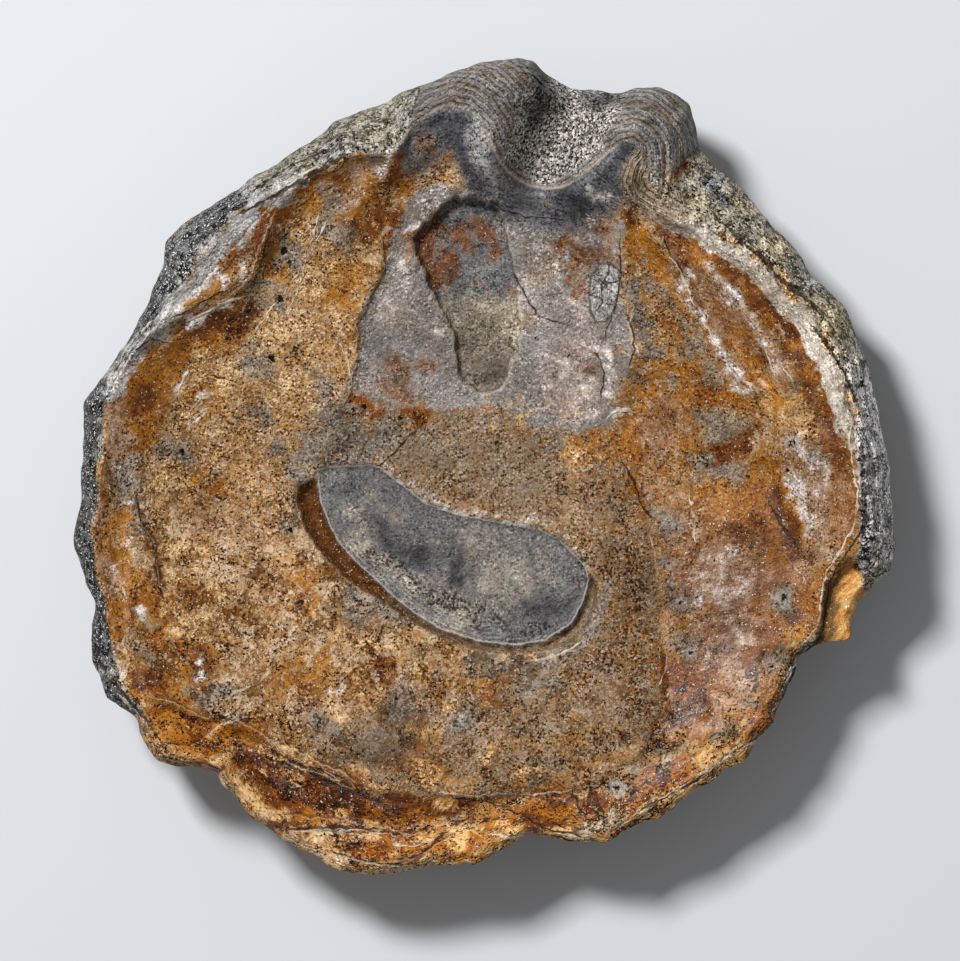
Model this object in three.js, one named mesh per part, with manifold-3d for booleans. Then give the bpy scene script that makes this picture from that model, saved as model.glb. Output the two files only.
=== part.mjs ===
// One valve of a thick-shelled fossil oyster, lying on the flat scar by which its cupped side was
// cemented down, with the inside of the shell facing up. Millimetres, +Z up, the hinge towards +Y,
// the origin under the middle of the shell at the height of the face that it rests on.
import * as THREE from "three";
import { mergeVertices } from "three/addons/utils/BufferGeometryUtils.js";
import Module from "manifold-3d";

// ---- Driving dimensions ----
const FOOT_SHARE = 0.4; // size of the flat cemented scar underneath, as a share of the shell's
const BOWL_FLOOR = 11.8; // height of the inside at its deepest
const PLATE_RISE = 4.6; // how much higher the smooth plate under the hinge lies
const RIM_CLIMB = 5; // power of the climb from the floor to the rim
const LIGAMENT_TOP = 23.4; // height of the ridged area that held the ligament
const TROUGH = { depth: 6, half: 5.6, x: 8.7, y: 43.4, lean: 0.44 };
const LEFT_RIDGE = { across: -9.8, height: 1.9, half: 4.6 };
const RIGHT_RIDGE = { across: 10, height: 1.8, half: 4 };
const UNDERSIDE_CURVE = 1.35; // power of the rise from the foot to the edge underneath
const EVENING = { degrees: 24, samples: 9 }; // spread over which the edge's notches are evened out
const SWELLS = [[7, 0.3], [3.1, 0.16]]; // wavelength and height of the unevenness left by growth
const UMBO = [4, 44]; // plan position of the shell's first growth, where the outside's layers start
const LEDGE_SHARE = 0.06; // share of the flank's height by which its growth ledges stand out
const LAMELLAE = 7; // growth layers that stand out on the outside
const LAMELLA_STEP = 1.15; // thickness of a layer at its broken edge
const LAYER_END = 0.97; // where a layer's broken edge ends, as a share of its width
const LAYER_WANDER = { share: 0.018, degrees: 17 }; // unevenness of the layers' edges
const NOTCH = 0.4; // how far the edge's leaves are notched, either way
const UNDERCUT = 0.8; // how far the lowest leaf's edge stands in under the others
const SCAR_SINK = 0.8; // how far the muscle scar lies under the shell on its hinge side
const SCAR_TILT = 0.035; // fall of the scar away from the hinge, per mm
const GROOVE_DEPTHS = { left: 1.3, right: 0.4, from: -18, to: 0 }; // fading between those x
const SCAR_CUP = 0.012; // rise of the scar to either side, per mm
const HOLE_FLOOR = 12.5; // height of the floor of the broken-in hole
const HOLE_TILT = 0.13; // rise of that floor towards the hinge, per mm
const EDGE_CHIP_FLOOR = 15.3; // height of the layer laid bare where the edge has chipped off
const CUTTER_TOP = 40;

// ---- Grid of the mesh ----
const GRID = 46; // cells along one side of the square that is rounded into the upper surface
const RIM_RING = 17; // ring of that grid, out of GRID / 2, which runs along the rim's crest
const FLANK_RINGS = GRID / 2 - RIM_RING;
const COLUMNS = 4 * GRID;
const UNDER_COLUMNS = COLUMNS / 2;
const RINGS_IN_LAMELLA = 3;

// The shell seen from above, anticlockwise from the right, as points on its edge.
const OUTLINE = [
  [58.3, 4.1], [56.4, 12.9], [55.5, 16.5], [54, 20.1], [52.3, 23.8], [50.1, 26.2], [47.9, 28.1],
  [45.8, 31.3], [41.4, 36.5], [38.8, 39.4], [36.3, 41.9], [33.4, 44.1], [31.2, 47], [30.5, 50.6],
  [29.8, 53.1], [28, 54.7], [25.4, 55.6], [22.5, 55.6], [19.6, 54.9], [13.8, 55.3], [11.2, 56],
  [8.4, 58.2], [7.3, 59.4], [4.4, 59.8], [0.7, 59.4], [-3.6, 58.2], [-9.4, 55.9], [-15.3, 53.1],
  [-21.8, 50.6], [-26.2, 47], [-34.1, 42.4], [-36.3, 40.5], [-42.1, 37.1], [-44.6, 35.4],
  [-46.4, 33.2], [-46.9, 30], [-49.1, 23.8], [-52.3, 18.7], [-55.2, 14.3], [-58.3, 10],
  [-58.7, 2.7], [-59, -6], [-60, -8.9], [-60, -11.1], [-58.1, -16.9], [-56.7, -19.1],
  [-57.5, -25.6], [-57.1, -28.5], [-55.2, -32.9], [-51.1, -36.3], [-50.4, -38.7], [-47.2, -42.6],
  [-45, -42.8], [-40.4, -43.8], [-36.3, -47.7], [-32.7, -51.8], [-26.9, -55.4], [-21.1, -58],
  [-17.4, -59.4], [-13.1, -59.2], [-8, -57.8], [-1.5, -57.6], [2.9, -55], [7, -53.1],
  [10.9, -54], [16.7, -54.4], [18.9, -54], [20.3, -52.2], [25.4, -50.8], [29.8, -47.4],
  [34.9, -43.8], [37.3, -43.1], [39.2, -40.2], [41.1, -38], [42.6, -35.1], [45, -29.3],
  [46.5, -27.1], [49, -25.1], [53, -24.8], [53.9, -19.8], [54.8, -18.7], [57, -16.6],
  [59.3, -15], [60, -11.1], [59.3, -8.9], [59.7, -6], [59.1, -1.7],
];

// Round the shell, by angle in degrees from +X towards the hinge:
// how far the rim's crest stands in from the edge,
const RIM_INSET = [
  [0, 5], [15, 6], [27, 6.5], [38, 7], [48, 9.3], [58, 11.5], [66, 8], [75, 4], [90, 3], [100, 5],
  [106, 7.7], [115, 5.4], [127, 4], [134, 3.4], [143, 5.7], [153, 3.4], [164, 2.2], [170, 3.6],
  [190, 3.2], [198, 2], [206, 3.8], [218, 2], [235, 1.5], [270, 1.4], [325, 1.5], [332, 1.4],
  [335, 4.4], [341, 5.5], [350, 5.5],
];
// the height of that crest,
const RIM_HEIGHT = [
  [0, 21.5], [20, 22.5], [45, 24], [75, 24.5], [105, 25], [125, 24.5], [145, 23.5], [165, 21.5],
  [180, 20.5], [200, 19.5], [220, 18.5], [240, 17.5], [270, 17], [300, 17], [325, 18], [340, 18],
  [350, 20.5],
];
// the height of the outermost edge on its upper side,
const EDGE_HEIGHT = [
  [0, 12.5], [40, 13], [60, 14], [90, 14.5], [110, 14], [130, 13], [150, 12.5], [180, 12.5],
  [200, 13], [215, 14.5], [235, 15.2], [270, 15.6], [320, 16], [333, 15.5], [342, 14], [350, 12.5],
];
// and the thickness of the edge there.
const EDGE_THICKNESS = [
  [0, 2.2], [60, 3], [90, 3.5], [115, 2.5], [180, 2.2], [215, 3], [270, 3.2], [320, 3], [350, 2.2],
];

// The ligament area: the sinuous lip that bounds it below, then its back edge.
const LIGAMENT = [
  [-11.6, 47.7], [-9.6, 49.7], [-7.1, 51.9], [-4.9, 52.4], [-2.6, 52], [-1.1, 50.9], [0.1, 49.3],
  [1, 47.1], [2, 44.7], [3.6, 42.8], [6.1, 41.2], [8.7, 40.6], [11.2, 40.8], [13.7, 42.1],
  [15.6, 43.8], [17.9, 45.8], [19.8, 47], [21.6, 47.2], [22.7, 46], [22.6, 43.5], [26, 42],
  [31.5, 47], [30.5, 57], [4, 62], [-9, 57],
];
// The inner layer, which ends in a low ledge along its lower and right sides.
const INNER_LAYER = [
  [19.6, 1.2], [17, 12], [13, 25], [0, 33], [-15, 33], [-30, 28], [-45, 16], [-50, 5], [-52, -10],
  [-52, -25], [-48.7, -33.2], [-43, -35.4], [-38.5, -36.5], [-34.1, -38.7], [-28.3, -41.6],
  [-22.5, -44.5], [-18.2, -46.7], [-12.4, -47.7], [-5, -47.4], [2.2, -47.7], [10.9, -47.2],
  [16.7, -45.3], [23.5, -41], [25.4, -35], [26.2, -29.3], [24.7, -19], [23.2, -6],
];
const LEDGE_DROP = 0.8;
// The kidney-shaped scar of the closing muscle.
const SCAR = [
  [-24.3, -0.2], [-22.5, 0.3], [-16.7, 0.5], [-15.3, 0.2], [-11.6, -2.7], [-8.7, -5],
  [-3.6, -6.8], [2.2, -7.8], [8, -8.9], [10.9, -10.4], [14.5, -14], [15.1, -16], [14.3, -19.1],
  [12.6, -22.4], [8.7, -24.9], [4.4, -25.6], [-1, -25], [-6.5, -23.2], [-10.2, -20.9],
  [-13.1, -18.7], [-16, -15.9], [-18.9, -13.3], [-21.1, -10.8], [-22.5, -8.2], [-23.9, -4.6],
];
// The groove along the scar's outer side, where the shell has flaked away beside it. It ends on the
// scar's own outline, from the point of that number on.
const GROOVE_START = 11;
const GROOVE = [
  [-24.6, -1.4], [-27, -2.5], [-27.3, -4.6], [-26.6, -7.5], [-25.1, -10.4], [-23.2, -12.9],
  [-20.3, -15.8], [-17.4, -17.9], [-14.5, -19.8], [-10.9, -22], [-6.5, -24.5], [-2.2, -26.1],
  [2.2, -26.7], [6.5, -26.8], [10.2, -26.1], [13.1, -24.9], [15, -22.7], [16.3, -19.8],
  [16.4, -17], [15.6, -15.5], ...SCAR.slice(GROOVE_START),
];
// The hole where the thin roof over a hollow under the hinge has fallen in.
const HOLE = [
  [-4.6, 39.3], [-2.2, 39.2], [0, 38.7], [1.9, 37.6], [2.9, 35.8], [3.3, 33.2], [3.9, 30.3],
  [4.6, 27.4], [5, 21.6], [5.1, 19.4], [4.6, 17.2], [3.6, 15.8], [3.3, 13.6], [2.6, 12.1],
  [0.7, 11.1], [-1, 11.3], [-2.9, 12.6], [-3.9, 14.3], [-4.1, 17.2], [-4.6, 20.1], [-5.8, 22.3],
  [-7, 24.5], [-8, 26.7], [-8.7, 28.8], [-9.9, 31], [-10.2, 33.2], [-9.4, 34.9], [-8, 35.8],
  [-7, 37.3],
];
// Where a piece has chipped off the edge.
const EDGE_CHIP = [
  [52.3, -12.9], [50.1, -16.2], [49, -19.8], [48.4, -24.2], [48.6, -27], [61, -27], [61, -18.5],
  [55, -17.5], [54.3, -13.5],
];
// Rounded folds of the inside: the crest's path, its height and half-width.
const FOLDS = [
  {
    path: [[32, 29.5], [34.5, 27.3], [36.5, 24.8], [38.8, 21.5], [41, 17.8], [42.5, 15], [44, 13]],
    height: 2,
    half: 1.6,
  },
  { path: [[45, 9], [46.5, 2], [47.5, -5], [48, -12]], height: 0.9, half: 2 },
  {
    path: [
      [24, 34], [26, 31.5], [28, 29], [29.2, 26.5], [30.2, 24], [31.7, 21.5], [33.2, 19], [35, 16.5],
      [37, 13.8], [39.5, 11.3],
    ],
    height: 1.5,
    half: 1.1,
  },
  { path: [[31, 33], [36, 29], [40, 25], [44, 20.5], [48, 14], [50, 7]], height: -1.2, half: 2 },
  { path: [[29.5, 28], [33, 22.5], [36.5, 17.5], [40, 13]], height: -0.9, half: 1.5 },
  { path: [[34.5, 2.7], [38, 3.8]], height: -0.8, half: 1.3 },
  { path: [[-37.5, 20.5], [-35, 19.5]], height: -0.5, half: 1.5 },
  { path: [[40.7, -0.2], [42.9, -6], [46.2, -13]], height: -0.7, half: 1.3 },
  {
    path: [[-32.4, 33.2], [-33.9, 28.6], [-39.2, 24.9], [-46.5, 20.9], [-52.3, 17.2]],
    height: 1,
    half: 1.6,
  },
  { path: [[-13.1, 44.1], [-18.2, 38.3], [-21, 33]], height: 0.9, half: 1.7 },
  { path: [[-24.5, 41.5], [-29.5, 31], [-33, 25]], height: -0.8, half: 2.2 },
  { path: [[21, 42], [20.3, 34], [20, 26], [22, 18], [19.8, 10]], height: 0.9, half: 1.5 },
  {
    path: [[-14.4, 32.2], [-15.9, 27.7], [-18.6, 22.5], [-18.4, 17.9], [-20.6, 9.5]],
    height: 0.7,
    half: 1.4,
  },
];
// The lower margin, by distance in from the edge: a raised lamella, then a furrow between lamellae.
const MARGIN_RIDGE = { inset: 2.2, height: 0.7, half: 1.1 };
const MARGIN_FURROW = { inset: 6.2, depth: 2, half: 2.6, from: 226, to: 284 };

// ---- Small mathematics ----
const { smoothstep, lerp, degToRad, radToDeg, clamp } = THREE.MathUtils;

const bell = (x, half) => Math.exp(-((x / half) ** 2));

const angleOf = (x, y) => (radToDeg(Math.atan2(y, x)) + 360) % 360;

// Value at an angle of a closed table of [degrees, value], eased between its entries.
function around(table, degrees) {
  const last = table.length - 1;
  let i = table.findIndex(([at]) => at > degrees);
  if (i < 0) i = 0;
  const [d1, v1] = table[i];
  const [d0, v0] = table[i ? i - 1 : last];
  const span = (d1 - d0 + 360) % 360;
  return lerp(v0, v1, smoothstep((degrees - d0 + 360) % 360, 0, span));
}

// Distance from a point to a path of straight stretches.
function distanceToPath(path, x, y) {
  let nearest = Infinity;
  for (let i = 1; i < path.length; i++) {
    const [ax, ay] = path[i - 1];
    const [bx, by] = path[i];
    const along = ((x - ax) * (bx - ax) + (y - ay) * (by - ay)) / ((bx - ax) ** 2 + (by - ay) ** 2);
    const t = clamp(along, 0, 1);
    nearest = Math.min(nearest, Math.hypot(x - lerp(ax, bx, t), y - lerp(ay, by, t)));
  }
  return nearest;
}

// Distance from a closed outline, positive inside it.
function depthInside(outline, x, y) {
  let inside = false;
  outline.forEach(([ax, ay], i) => {
    const [bx, by] = outline[(i + 1) % outline.length];
    if (ay > y !== by > y && x < ((bx - ax) * (y - ay)) / (by - ay) + ax) inside = !inside;
  });
  const away = distanceToPath([...outline, outline[0]], x, y);
  return inside ? away : -away;
}

// Slow waves in both directions, between about -1 and 1, for the unevenness of a grown surface.
const swell = (x, y, wave) =>
  (Math.sin(x / wave + 1.3) * Math.cos(y / wave - 0.4) +
    Math.sin((0.7 * x + y) / (0.61 * wave) + 2.1) * Math.cos((x - 0.6 * y) / (0.73 * wave))) / 2;

// ---- The shell's plan ----
const edgeCurve = new THREE.CatmullRomCurve3(
  OUTLINE.map(([x, y]) => new THREE.Vector3(x, y, 0)),
  true,
  "centripetal",
);
const EDGE_SAMPLES = edgeCurve
  .getPoints(1440)
  .map((p) => [angleOf(p.x, p.y), Math.hypot(p.x, p.y)])
  .sort((a, b) => a[0] - b[0]);

// Distance from the middle to the edge in a direction.
function edgeRadius(degrees) {
  let low = 0;
  let high = EDGE_SAMPLES.length - 1;
  while (high - low > 1) {
    const middle = (low + high) >> 1;
    if (EDGE_SAMPLES[middle][0] > degrees) high = middle;
    else low = middle;
  }
  const [d0, r0] = EDGE_SAMPLES[low];
  const [d1, r1] = EDGE_SAMPLES[high];
  return lerp(r0, r1, clamp((degrees - d0) / (d1 - d0 || 1), 0, 1));
}

const crestRadius = (degrees) => edgeRadius(degrees) - around(RIM_INSET, degrees);

// How far out a point lies, as a share of the way from the middle to a line round the shell. The
// line's notches count close to it and are evened out towards the middle.
function shareOut(x, y, radiusAt) {
  const degrees = angleOf(x, y);
  const exact = radiusAt(degrees);
  let sum = 0;
  for (let i = 0; i < EVENING.samples; i++) {
    const turn = EVENING.degrees * ((2 * i) / (EVENING.samples - 1) - 1);
    sum += radiusAt((degrees + turn + 360) % 360);
  }
  const r = Math.hypot(x, y);
  return r / lerp(sum / EVENING.samples, exact, Math.min(r / exact, 1) ** 8);
}

// ---- The inside of the shell ----

// The ridges beside the trough that held the ligament, fading out down the hinge's smooth lip.
function hingeRelief(x, y) {
  const across = x - TROUGH.x - TROUGH.lean * (y - TROUGH.y);
  return (
    LEFT_RIDGE.height * bell(across - LEFT_RIDGE.across, LEFT_RIDGE.half) +
    RIGHT_RIDGE.height * bell(across - RIGHT_RIDGE.across, RIGHT_RIDGE.half) -
    TROUGH.depth * bell(across, TROUGH.half)
  );
}

function insideHeight(x, y) {
  const degrees = angleOf(x, y);
  const outwards = Math.min(shareOut(x, y, crestRadius), 1);
  const floor = BOWL_FLOOR + PLATE_RISE * smoothstep(y, -6, 34);
  let z = lerp(floor, around(RIM_HEIGHT, degrees), outwards ** RIM_CLIMB);

  const intoLigament = depthInside(LIGAMENT, x, y);
  z = lerp(z, Math.max(z, LIGAMENT_TOP), smoothstep(intoLigament, -8.5, 1));
  z += hingeRelief(x, y) * smoothstep(intoLigament, -9, 2);

  for (const { path, height, half } of FOLDS) z += height * bell(distanceToPath(path, x, y), half);

  const belowPlate = smoothstep(-y, -4, 2);
  z -= LEDGE_DROP * belowPlate * smoothstep(-depthInside(INNER_LAYER, x, y), -0.3, 1);

  const inset = edgeRadius(degrees) - Math.hypot(x, y);
  const furrow =
    smoothstep(degrees, MARGIN_FURROW.from - 12, MARGIN_FURROW.from) *
    smoothstep(-degrees, -MARGIN_FURROW.to - 12, -MARGIN_FURROW.to);
  z -= furrow * MARGIN_FURROW.depth * bell(inset - MARGIN_FURROW.inset, MARGIN_FURROW.half);
  const lowerMargin = smoothstep(degrees, 205, 225) * smoothstep(-degrees, -335, -315);
  z += lowerMargin * MARGIN_RIDGE.height * bell(inset - MARGIN_RIDGE.inset, MARGIN_RIDGE.half);
  for (const [wave, height] of SWELLS) z += height * swell(x, y, wave);
  return z;
}

// Upper surface as far as the edge: past the rim's crest it falls steeply to the edge in ledges.
function upperHeight(x, y) {
  const degrees = angleOf(x, y);
  const beyond = Math.hypot(x, y) - crestRadius(degrees);
  if (beyond <= 0) return insideHeight(x, y);
  const t = clamp(1 - beyond / around(RIM_INSET, degrees), 0, 1);
  const ledges = LEDGE_SHARE * Math.cos(Math.PI * FLANK_RINGS * t) * Math.sin(Math.PI * t);
  const fall = Math.sin((Math.PI / 2) * t) ** 0.8 + ledges;
  return lerp(around(EDGE_HEIGHT, degrees), insideHeight(x, y), clamp(fall, 0, 1));
}

// ---- The outside of the shell ----

// Height of the underside at a plan position, flat over the foot and curving up to the edge.
function outsideHeight(x, y) {
  const degrees = angleOf(x, y);
  const top = around(EDGE_HEIGHT, degrees) - around(EDGE_THICKNESS, degrees);
  const beyondFoot = (shareOut(x, y, edgeRadius) - FOOT_SHARE) / (1 - FOOT_SHARE);
  return top * clamp(beyondFoot, 0, 1) ** UNDERSIDE_CURVE;
}

// ---- Mesh of the uncut shell ----
const positions = [];
const faces = [];

const addPoint = (x, y, z) => positions.push(x, y, z) / 3 - 1;

// A square grid rounded to a disc: ring by ring it runs along squares, and each side of a square
// becomes a quarter of a circle. The ring RIM_RING lies on the rim's crest.
function discPoint(a, b) {
  const ring = Math.max(Math.abs(a), Math.abs(b));
  if (!ring) return [0, 0];
  const quarter = Math.abs(a) >= Math.abs(b)
    ? (a > 0 ? 0 : 180) + (45 * b) / a
    : (b > 0 ? 90 : 270) - (45 * a) / b;
  const degrees = (quarter + 360) % 360;
  const crest = crestRadius(degrees);
  const r = ring <= RIM_RING
    ? (crest * ring) / RIM_RING
    : lerp(crest, edgeRadius(degrees), (ring - RIM_RING) / FLANK_RINGS);
  return [r * Math.cos(degToRad(degrees)), r * Math.sin(degToRad(degrees))];
}

const upper = [];
for (let j = 0; j <= GRID; j++) {
  upper.push([]);
  for (let i = 0; i <= GRID; i++) {
    const [x, y] = discPoint(i - GRID / 2, j - GRID / 2);
    upper[j].push(addPoint(x, y, upperHeight(x, y)));
  }
}
for (let j = 0; j < GRID; j++)
  for (let i = 0; i < GRID; i++) {
    const [p, q, r, s] = [upper[j][i], upper[j][i + 1], upper[j + 1][i + 1], upper[j + 1][i]];
    const rising = (i < GRID / 2) === (j < GRID / 2);
    if (rising) faces.push(p, q, r, p, r, s);
    else faces.push(p, q, s, q, r, s);
  }

// The grid's border as a ring, anticlockwise from 315 degrees, where its first corner went.
const border = [
  ...upper.map((row) => row[GRID]).slice(0, GRID),
  ...upper[GRID].slice(1).reverse(),
  ...upper.map((row) => row[0]).slice(1).reverse(),
  ...upper[0].slice(0, GRID),
];
const ringDegrees = (column, columns) => (315 + (360 * column) / columns) % 360;

// Joins two closed rings of the same count, the first above the second.
function wall(above, below) {
  above.forEach((_, i) => {
    const next = (i + 1) % above.length;
    faces.push(above[i], below[i], below[next], above[i], below[next], above[next]);
  });
}

// The edge's middle, notched as the ends of thin leaves are.
const leaves = border.map((_, i) => {
  const degrees = ringDegrees(i, COLUMNS);
  const r = edgeRadius(degrees) - NOTCH * (1 + Math.sin(0.9 * i));
  const z = around(EDGE_HEIGHT, degrees) - 0.5 * around(EDGE_THICKNESS, degrees);
  return addPoint(r * Math.cos(degToRad(degrees)), r * Math.sin(degToRad(degrees)), z);
});
wall(border, leaves);

// A growth line of the outside, the edge drawn in towards the umbo by a share.
function growthLine(share, proud) {
  const line = [];
  for (let i = 0; i < UNDER_COLUMNS; i++) {
    const degrees = ringDegrees(i, UNDER_COLUMNS);
    const r = edgeRadius(degrees) - UNDERCUT;
    const phase = LAMELLAE * share + degrees / LAYER_WANDER.degrees;
    const wander = share < 1 ? LAYER_WANDER.share * Math.sin(phase) : 0;
    const x = lerp(UMBO[0], r * Math.cos(degToRad(degrees)), share + wander);
    const y = lerp(UMBO[1], r * Math.sin(degToRad(degrees)), share + wander);
    const z = outsideHeight(x, y);
    const onFoot = smoothstep(z, 0, 1.5);
    line.push(addPoint(x, y, Math.max(z - proud * onFoot, 0)));
  }
  return line;
}

const outermost = growthLine(1, 0);
outermost.forEach((point, i) => {
  const next = outermost[(i + 1) % UNDER_COLUMNS];
  const [a, b, c] = [2 * i, 2 * i + 1, (2 * i + 2) % COLUMNS].map((column) => leaves[column]);
  faces.push(a, point, b, b, point, next, b, next, c);
});

// Each layer thickens to its broken edge, and the next one comes out from under it.
let lineAbove = outermost;
for (let layer = LAMELLAE; layer >= 1; layer--)
  for (let step = 0; step < RINGS_IN_LAMELLA; step++) {
    const within = step === 0 ? LAYER_END : 1 - step / RINGS_IN_LAMELLA;
    const share = (layer - 1 + within) / LAMELLAE;
    const line = growthLine(share, LAMELLA_STEP * within);
    wall(lineAbove, line);
    lineAbove = line;
  }
const apex = addPoint(UMBO[0], UMBO[1], outsideHeight(...UMBO));
lineAbove.forEach((point, i) => faces.push(point, apex, lineAbove[(i + 1) % UNDER_COLUMNS]));

// ---- Cuts ----
const wasm = await Module();
wasm.setup();

function solidOf(geometry) {
  const plain = geometry.clone();
  plain.deleteAttribute("normal");
  plain.deleteAttribute("uv");
  const merged = mergeVertices(plain, 1e-4);
  return new wasm.Manifold(
    new wasm.Mesh({
      numProp: 3,
      vertProperties: merged.attributes.position.array,
      triVerts: new Uint32Array(merged.index.array),
    }),
  );
}

// Prism over a closed outline, from a floor that may tilt towards +Y up past the shell.
function prism(outline, floorHeight) {
  const points = outline.map(([x, y]) => new THREE.Vector2(x, y));
  const shape = new THREE.Shape(THREE.ShapeUtils.isClockWise(points) ? points.reverse() : points);
  const geometry = new THREE.ExtrudeGeometry(shape, { depth: 1, bevelEnabled: false });
  const p = geometry.attributes.position;
  for (let i = 0; i < p.count; i++)
    p.setZ(i, p.getZ(i) > 0.5 ? CUTTER_TOP : floorHeight(p.getX(i), p.getY(i)));
  return solidOf(geometry);
}

const uncut = new THREE.BufferGeometry()
  .setAttribute("position", new THREE.Float32BufferAttribute(positions, 3))
  .setIndex(faces);

const scarLevel = insideHeight(-2, -4) - SCAR_SINK;
const scarFloor = (x, y) => scarLevel + SCAR_TILT * (y + 4) + SCAR_CUP * Math.abs(x);
const grooveFloor = (x, y) =>
  scarFloor(x, y) -
  lerp(GROOVE_DEPTHS.left, GROOVE_DEPTHS.right, smoothstep(x, GROOVE_DEPTHS.from, GROOVE_DEPTHS.to));
const valve = solidOf(uncut)
  .subtract(prism(SCAR, scarFloor).add(prism(GROOVE, grooveFloor)))
  .subtract(prism(HOLE, (x, y) => HOLE_FLOOR + HOLE_TILT * (y - 11)))
  .subtract(prism(EDGE_CHIP, () => EDGE_CHIP_FLOOR));

// ---- The part ----
function meshOf(name, solid, material) {
  const { vertProperties, triVerts } = solid.getMesh();
  const geometry = new THREE.BufferGeometry()
    .setAttribute("position", new THREE.Float32BufferAttribute(vertProperties, 3))
    .setIndex(new THREE.BufferAttribute(triVerts, 1));
  geometry.computeVertexNormals();
  const mesh = new THREE.Mesh(geometry, material);
  mesh.name = name;
  return mesh;
}

const calcite = new THREE.MeshStandardMaterial({ color: 0x93714f, roughness: 0.55, metalness: 0 });

const oyster = new THREE.Group();
oyster.add(meshOf("oyster_valve", valve, calcite));

export default oyster;
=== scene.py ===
import bpy
import numpy as np
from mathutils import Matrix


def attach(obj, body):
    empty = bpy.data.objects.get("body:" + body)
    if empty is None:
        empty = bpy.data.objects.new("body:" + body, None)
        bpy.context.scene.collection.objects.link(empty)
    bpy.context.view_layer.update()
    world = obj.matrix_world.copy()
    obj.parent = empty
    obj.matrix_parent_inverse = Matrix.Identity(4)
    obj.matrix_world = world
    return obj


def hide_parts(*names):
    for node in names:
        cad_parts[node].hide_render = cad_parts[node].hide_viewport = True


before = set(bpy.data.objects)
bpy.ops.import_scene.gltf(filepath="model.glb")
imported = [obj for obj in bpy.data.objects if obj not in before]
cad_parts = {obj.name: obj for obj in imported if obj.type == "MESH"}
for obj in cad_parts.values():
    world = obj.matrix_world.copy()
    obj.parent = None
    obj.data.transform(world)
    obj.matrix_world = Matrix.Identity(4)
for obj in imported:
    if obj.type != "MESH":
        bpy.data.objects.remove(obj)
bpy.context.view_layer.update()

# ---- Camera ----
# Straight above the open side of the valve with the hinge away, from far enough off that the rim
# hides nothing. One pixel of the 960 x 961 frame is 0.1453 mm at the height of the shell's edge.
MM = 0.001
PIXEL = 0.1453 * MM
FRAME_WIDTH = 960 * PIXEL
EDGE_LEVEL = 14 * MM
CAMERA_HEIGHT = 1.5
FRAME_MIDDLE = (-0.7 * MM, -1.7 * MM)
camera_data = bpy.data.cameras.new("camera")
camera_data.sensor_fit = "HORIZONTAL"
camera_data.lens = camera_data.sensor_width * (CAMERA_HEIGHT - EDGE_LEVEL) / FRAME_WIDTH
camera = bpy.data.objects.new("camera", camera_data)
camera.location = (*FRAME_MIDDLE, CAMERA_HEIGHT)
bpy.context.scene.collection.objects.link(camera)
bpy.context.scene.camera = camera
bpy.context.scene.view_settings.view_transform = "Standard"

# ---- Fossil valve: its form ----
# One thick valve of an oyster, calcite grown in leaves and later stained in the ground. Inside up:
# a shallow bowl, a rim, a muscle scar, and a ligament trough between two ridges at the hinge.
# All of this section is in millimetres.

# The shell seen from above, anticlockwise from the right.
OUTLINE = [
    (58.3, 4.1), (56.4, 12.9), (55.5, 16.5), (54, 20.1), (52.3, 23.8), (50.1, 26.2), (47.9, 28.1),
    (45.8, 31.3), (41.4, 36.5), (38.8, 39.4), (36.3, 41.9), (33.4, 44.1), (31.2, 47), (30.5, 50.6),
    (29.8, 53.1), (28, 54.7), (25.4, 55.6), (22.5, 55.6), (19.6, 54.9), (13.8, 55.3), (11.2, 56),
    (8.4, 58.2), (7.3, 59.4), (4.4, 59.8), (0.7, 59.4), (-3.6, 58.2), (-9.4, 55.9), (-15.3, 53.1),
    (-21.8, 50.6), (-26.2, 47), (-34.1, 42.4), (-36.3, 40.5), (-42.1, 37.1), (-44.6, 35.4),
    (-46.4, 33.2), (-46.9, 30), (-49.1, 23.8), (-52.3, 18.7), (-55.2, 14.3), (-58.3, 10),
    (-58.7, 2.7), (-59, -6), (-60, -8.9), (-60, -11.1), (-58.1, -16.9), (-56.7, -19.1),
    (-57.5, -25.6), (-57.1, -28.5), (-55.2, -32.9), (-51.1, -36.3), (-50.4, -38.7), (-47.2, -42.6),
    (-45, -42.8), (-40.4, -43.8), (-36.3, -47.7), (-32.7, -51.8), (-26.9, -55.4), (-21.1, -58),
    (-17.4, -59.4), (-13.1, -59.2), (-8, -57.8), (-1.5, -57.6), (2.9, -55), (7, -53.1),
    (10.9, -54), (16.7, -54.4), (18.9, -54), (20.3, -52.2), (25.4, -50.8), (29.8, -47.4),
    (34.9, -43.8), (37.3, -43.1), (39.2, -40.2), (41.1, -38), (42.6, -35.1), (45, -29.3),
    (46.5, -27.1), (49, -25.1), (53, -24.8), (53.9, -19.8), (54.8, -18.7), (57, -16.6),
    (59.3, -15), (60, -11.1), (59.3, -8.9), (59.7, -6), (59.1, -1.7),
]
# Round the shell by angle, in degrees from +X towards the hinge: how far the rim's crest stands in
# from the edge, the crest's height, the height of the edge's upper side, and the edge's thickness.
RIM_INSET = [
    (0, 5), (15, 6), (27, 6.5), (38, 7), (48, 9.3), (58, 11.5), (66, 8), (75, 4), (90, 3), (100, 5),
    (106, 7.7), (115, 5.4), (127, 4), (134, 3.4), (143, 5.7), (153, 3.4), (164, 2.2), (170, 3.6),
    (190, 3.2), (198, 2), (206, 3.8), (218, 2), (235, 1.5), (270, 1.4), (325, 1.5), (332, 1.4),
    (335, 4.4), (341, 5.5), (350, 5.5),
]
RIM_HEIGHT = [
    (0, 21.5), (20, 22.5), (45, 24), (75, 24.5), (105, 25), (125, 24.5), (145, 23.5), (165, 21.5),
    (180, 20.5), (200, 19.5), (220, 18.5), (240, 17.5), (270, 17), (300, 17), (325, 18), (340, 18),
    (350, 20.5),
]
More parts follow.
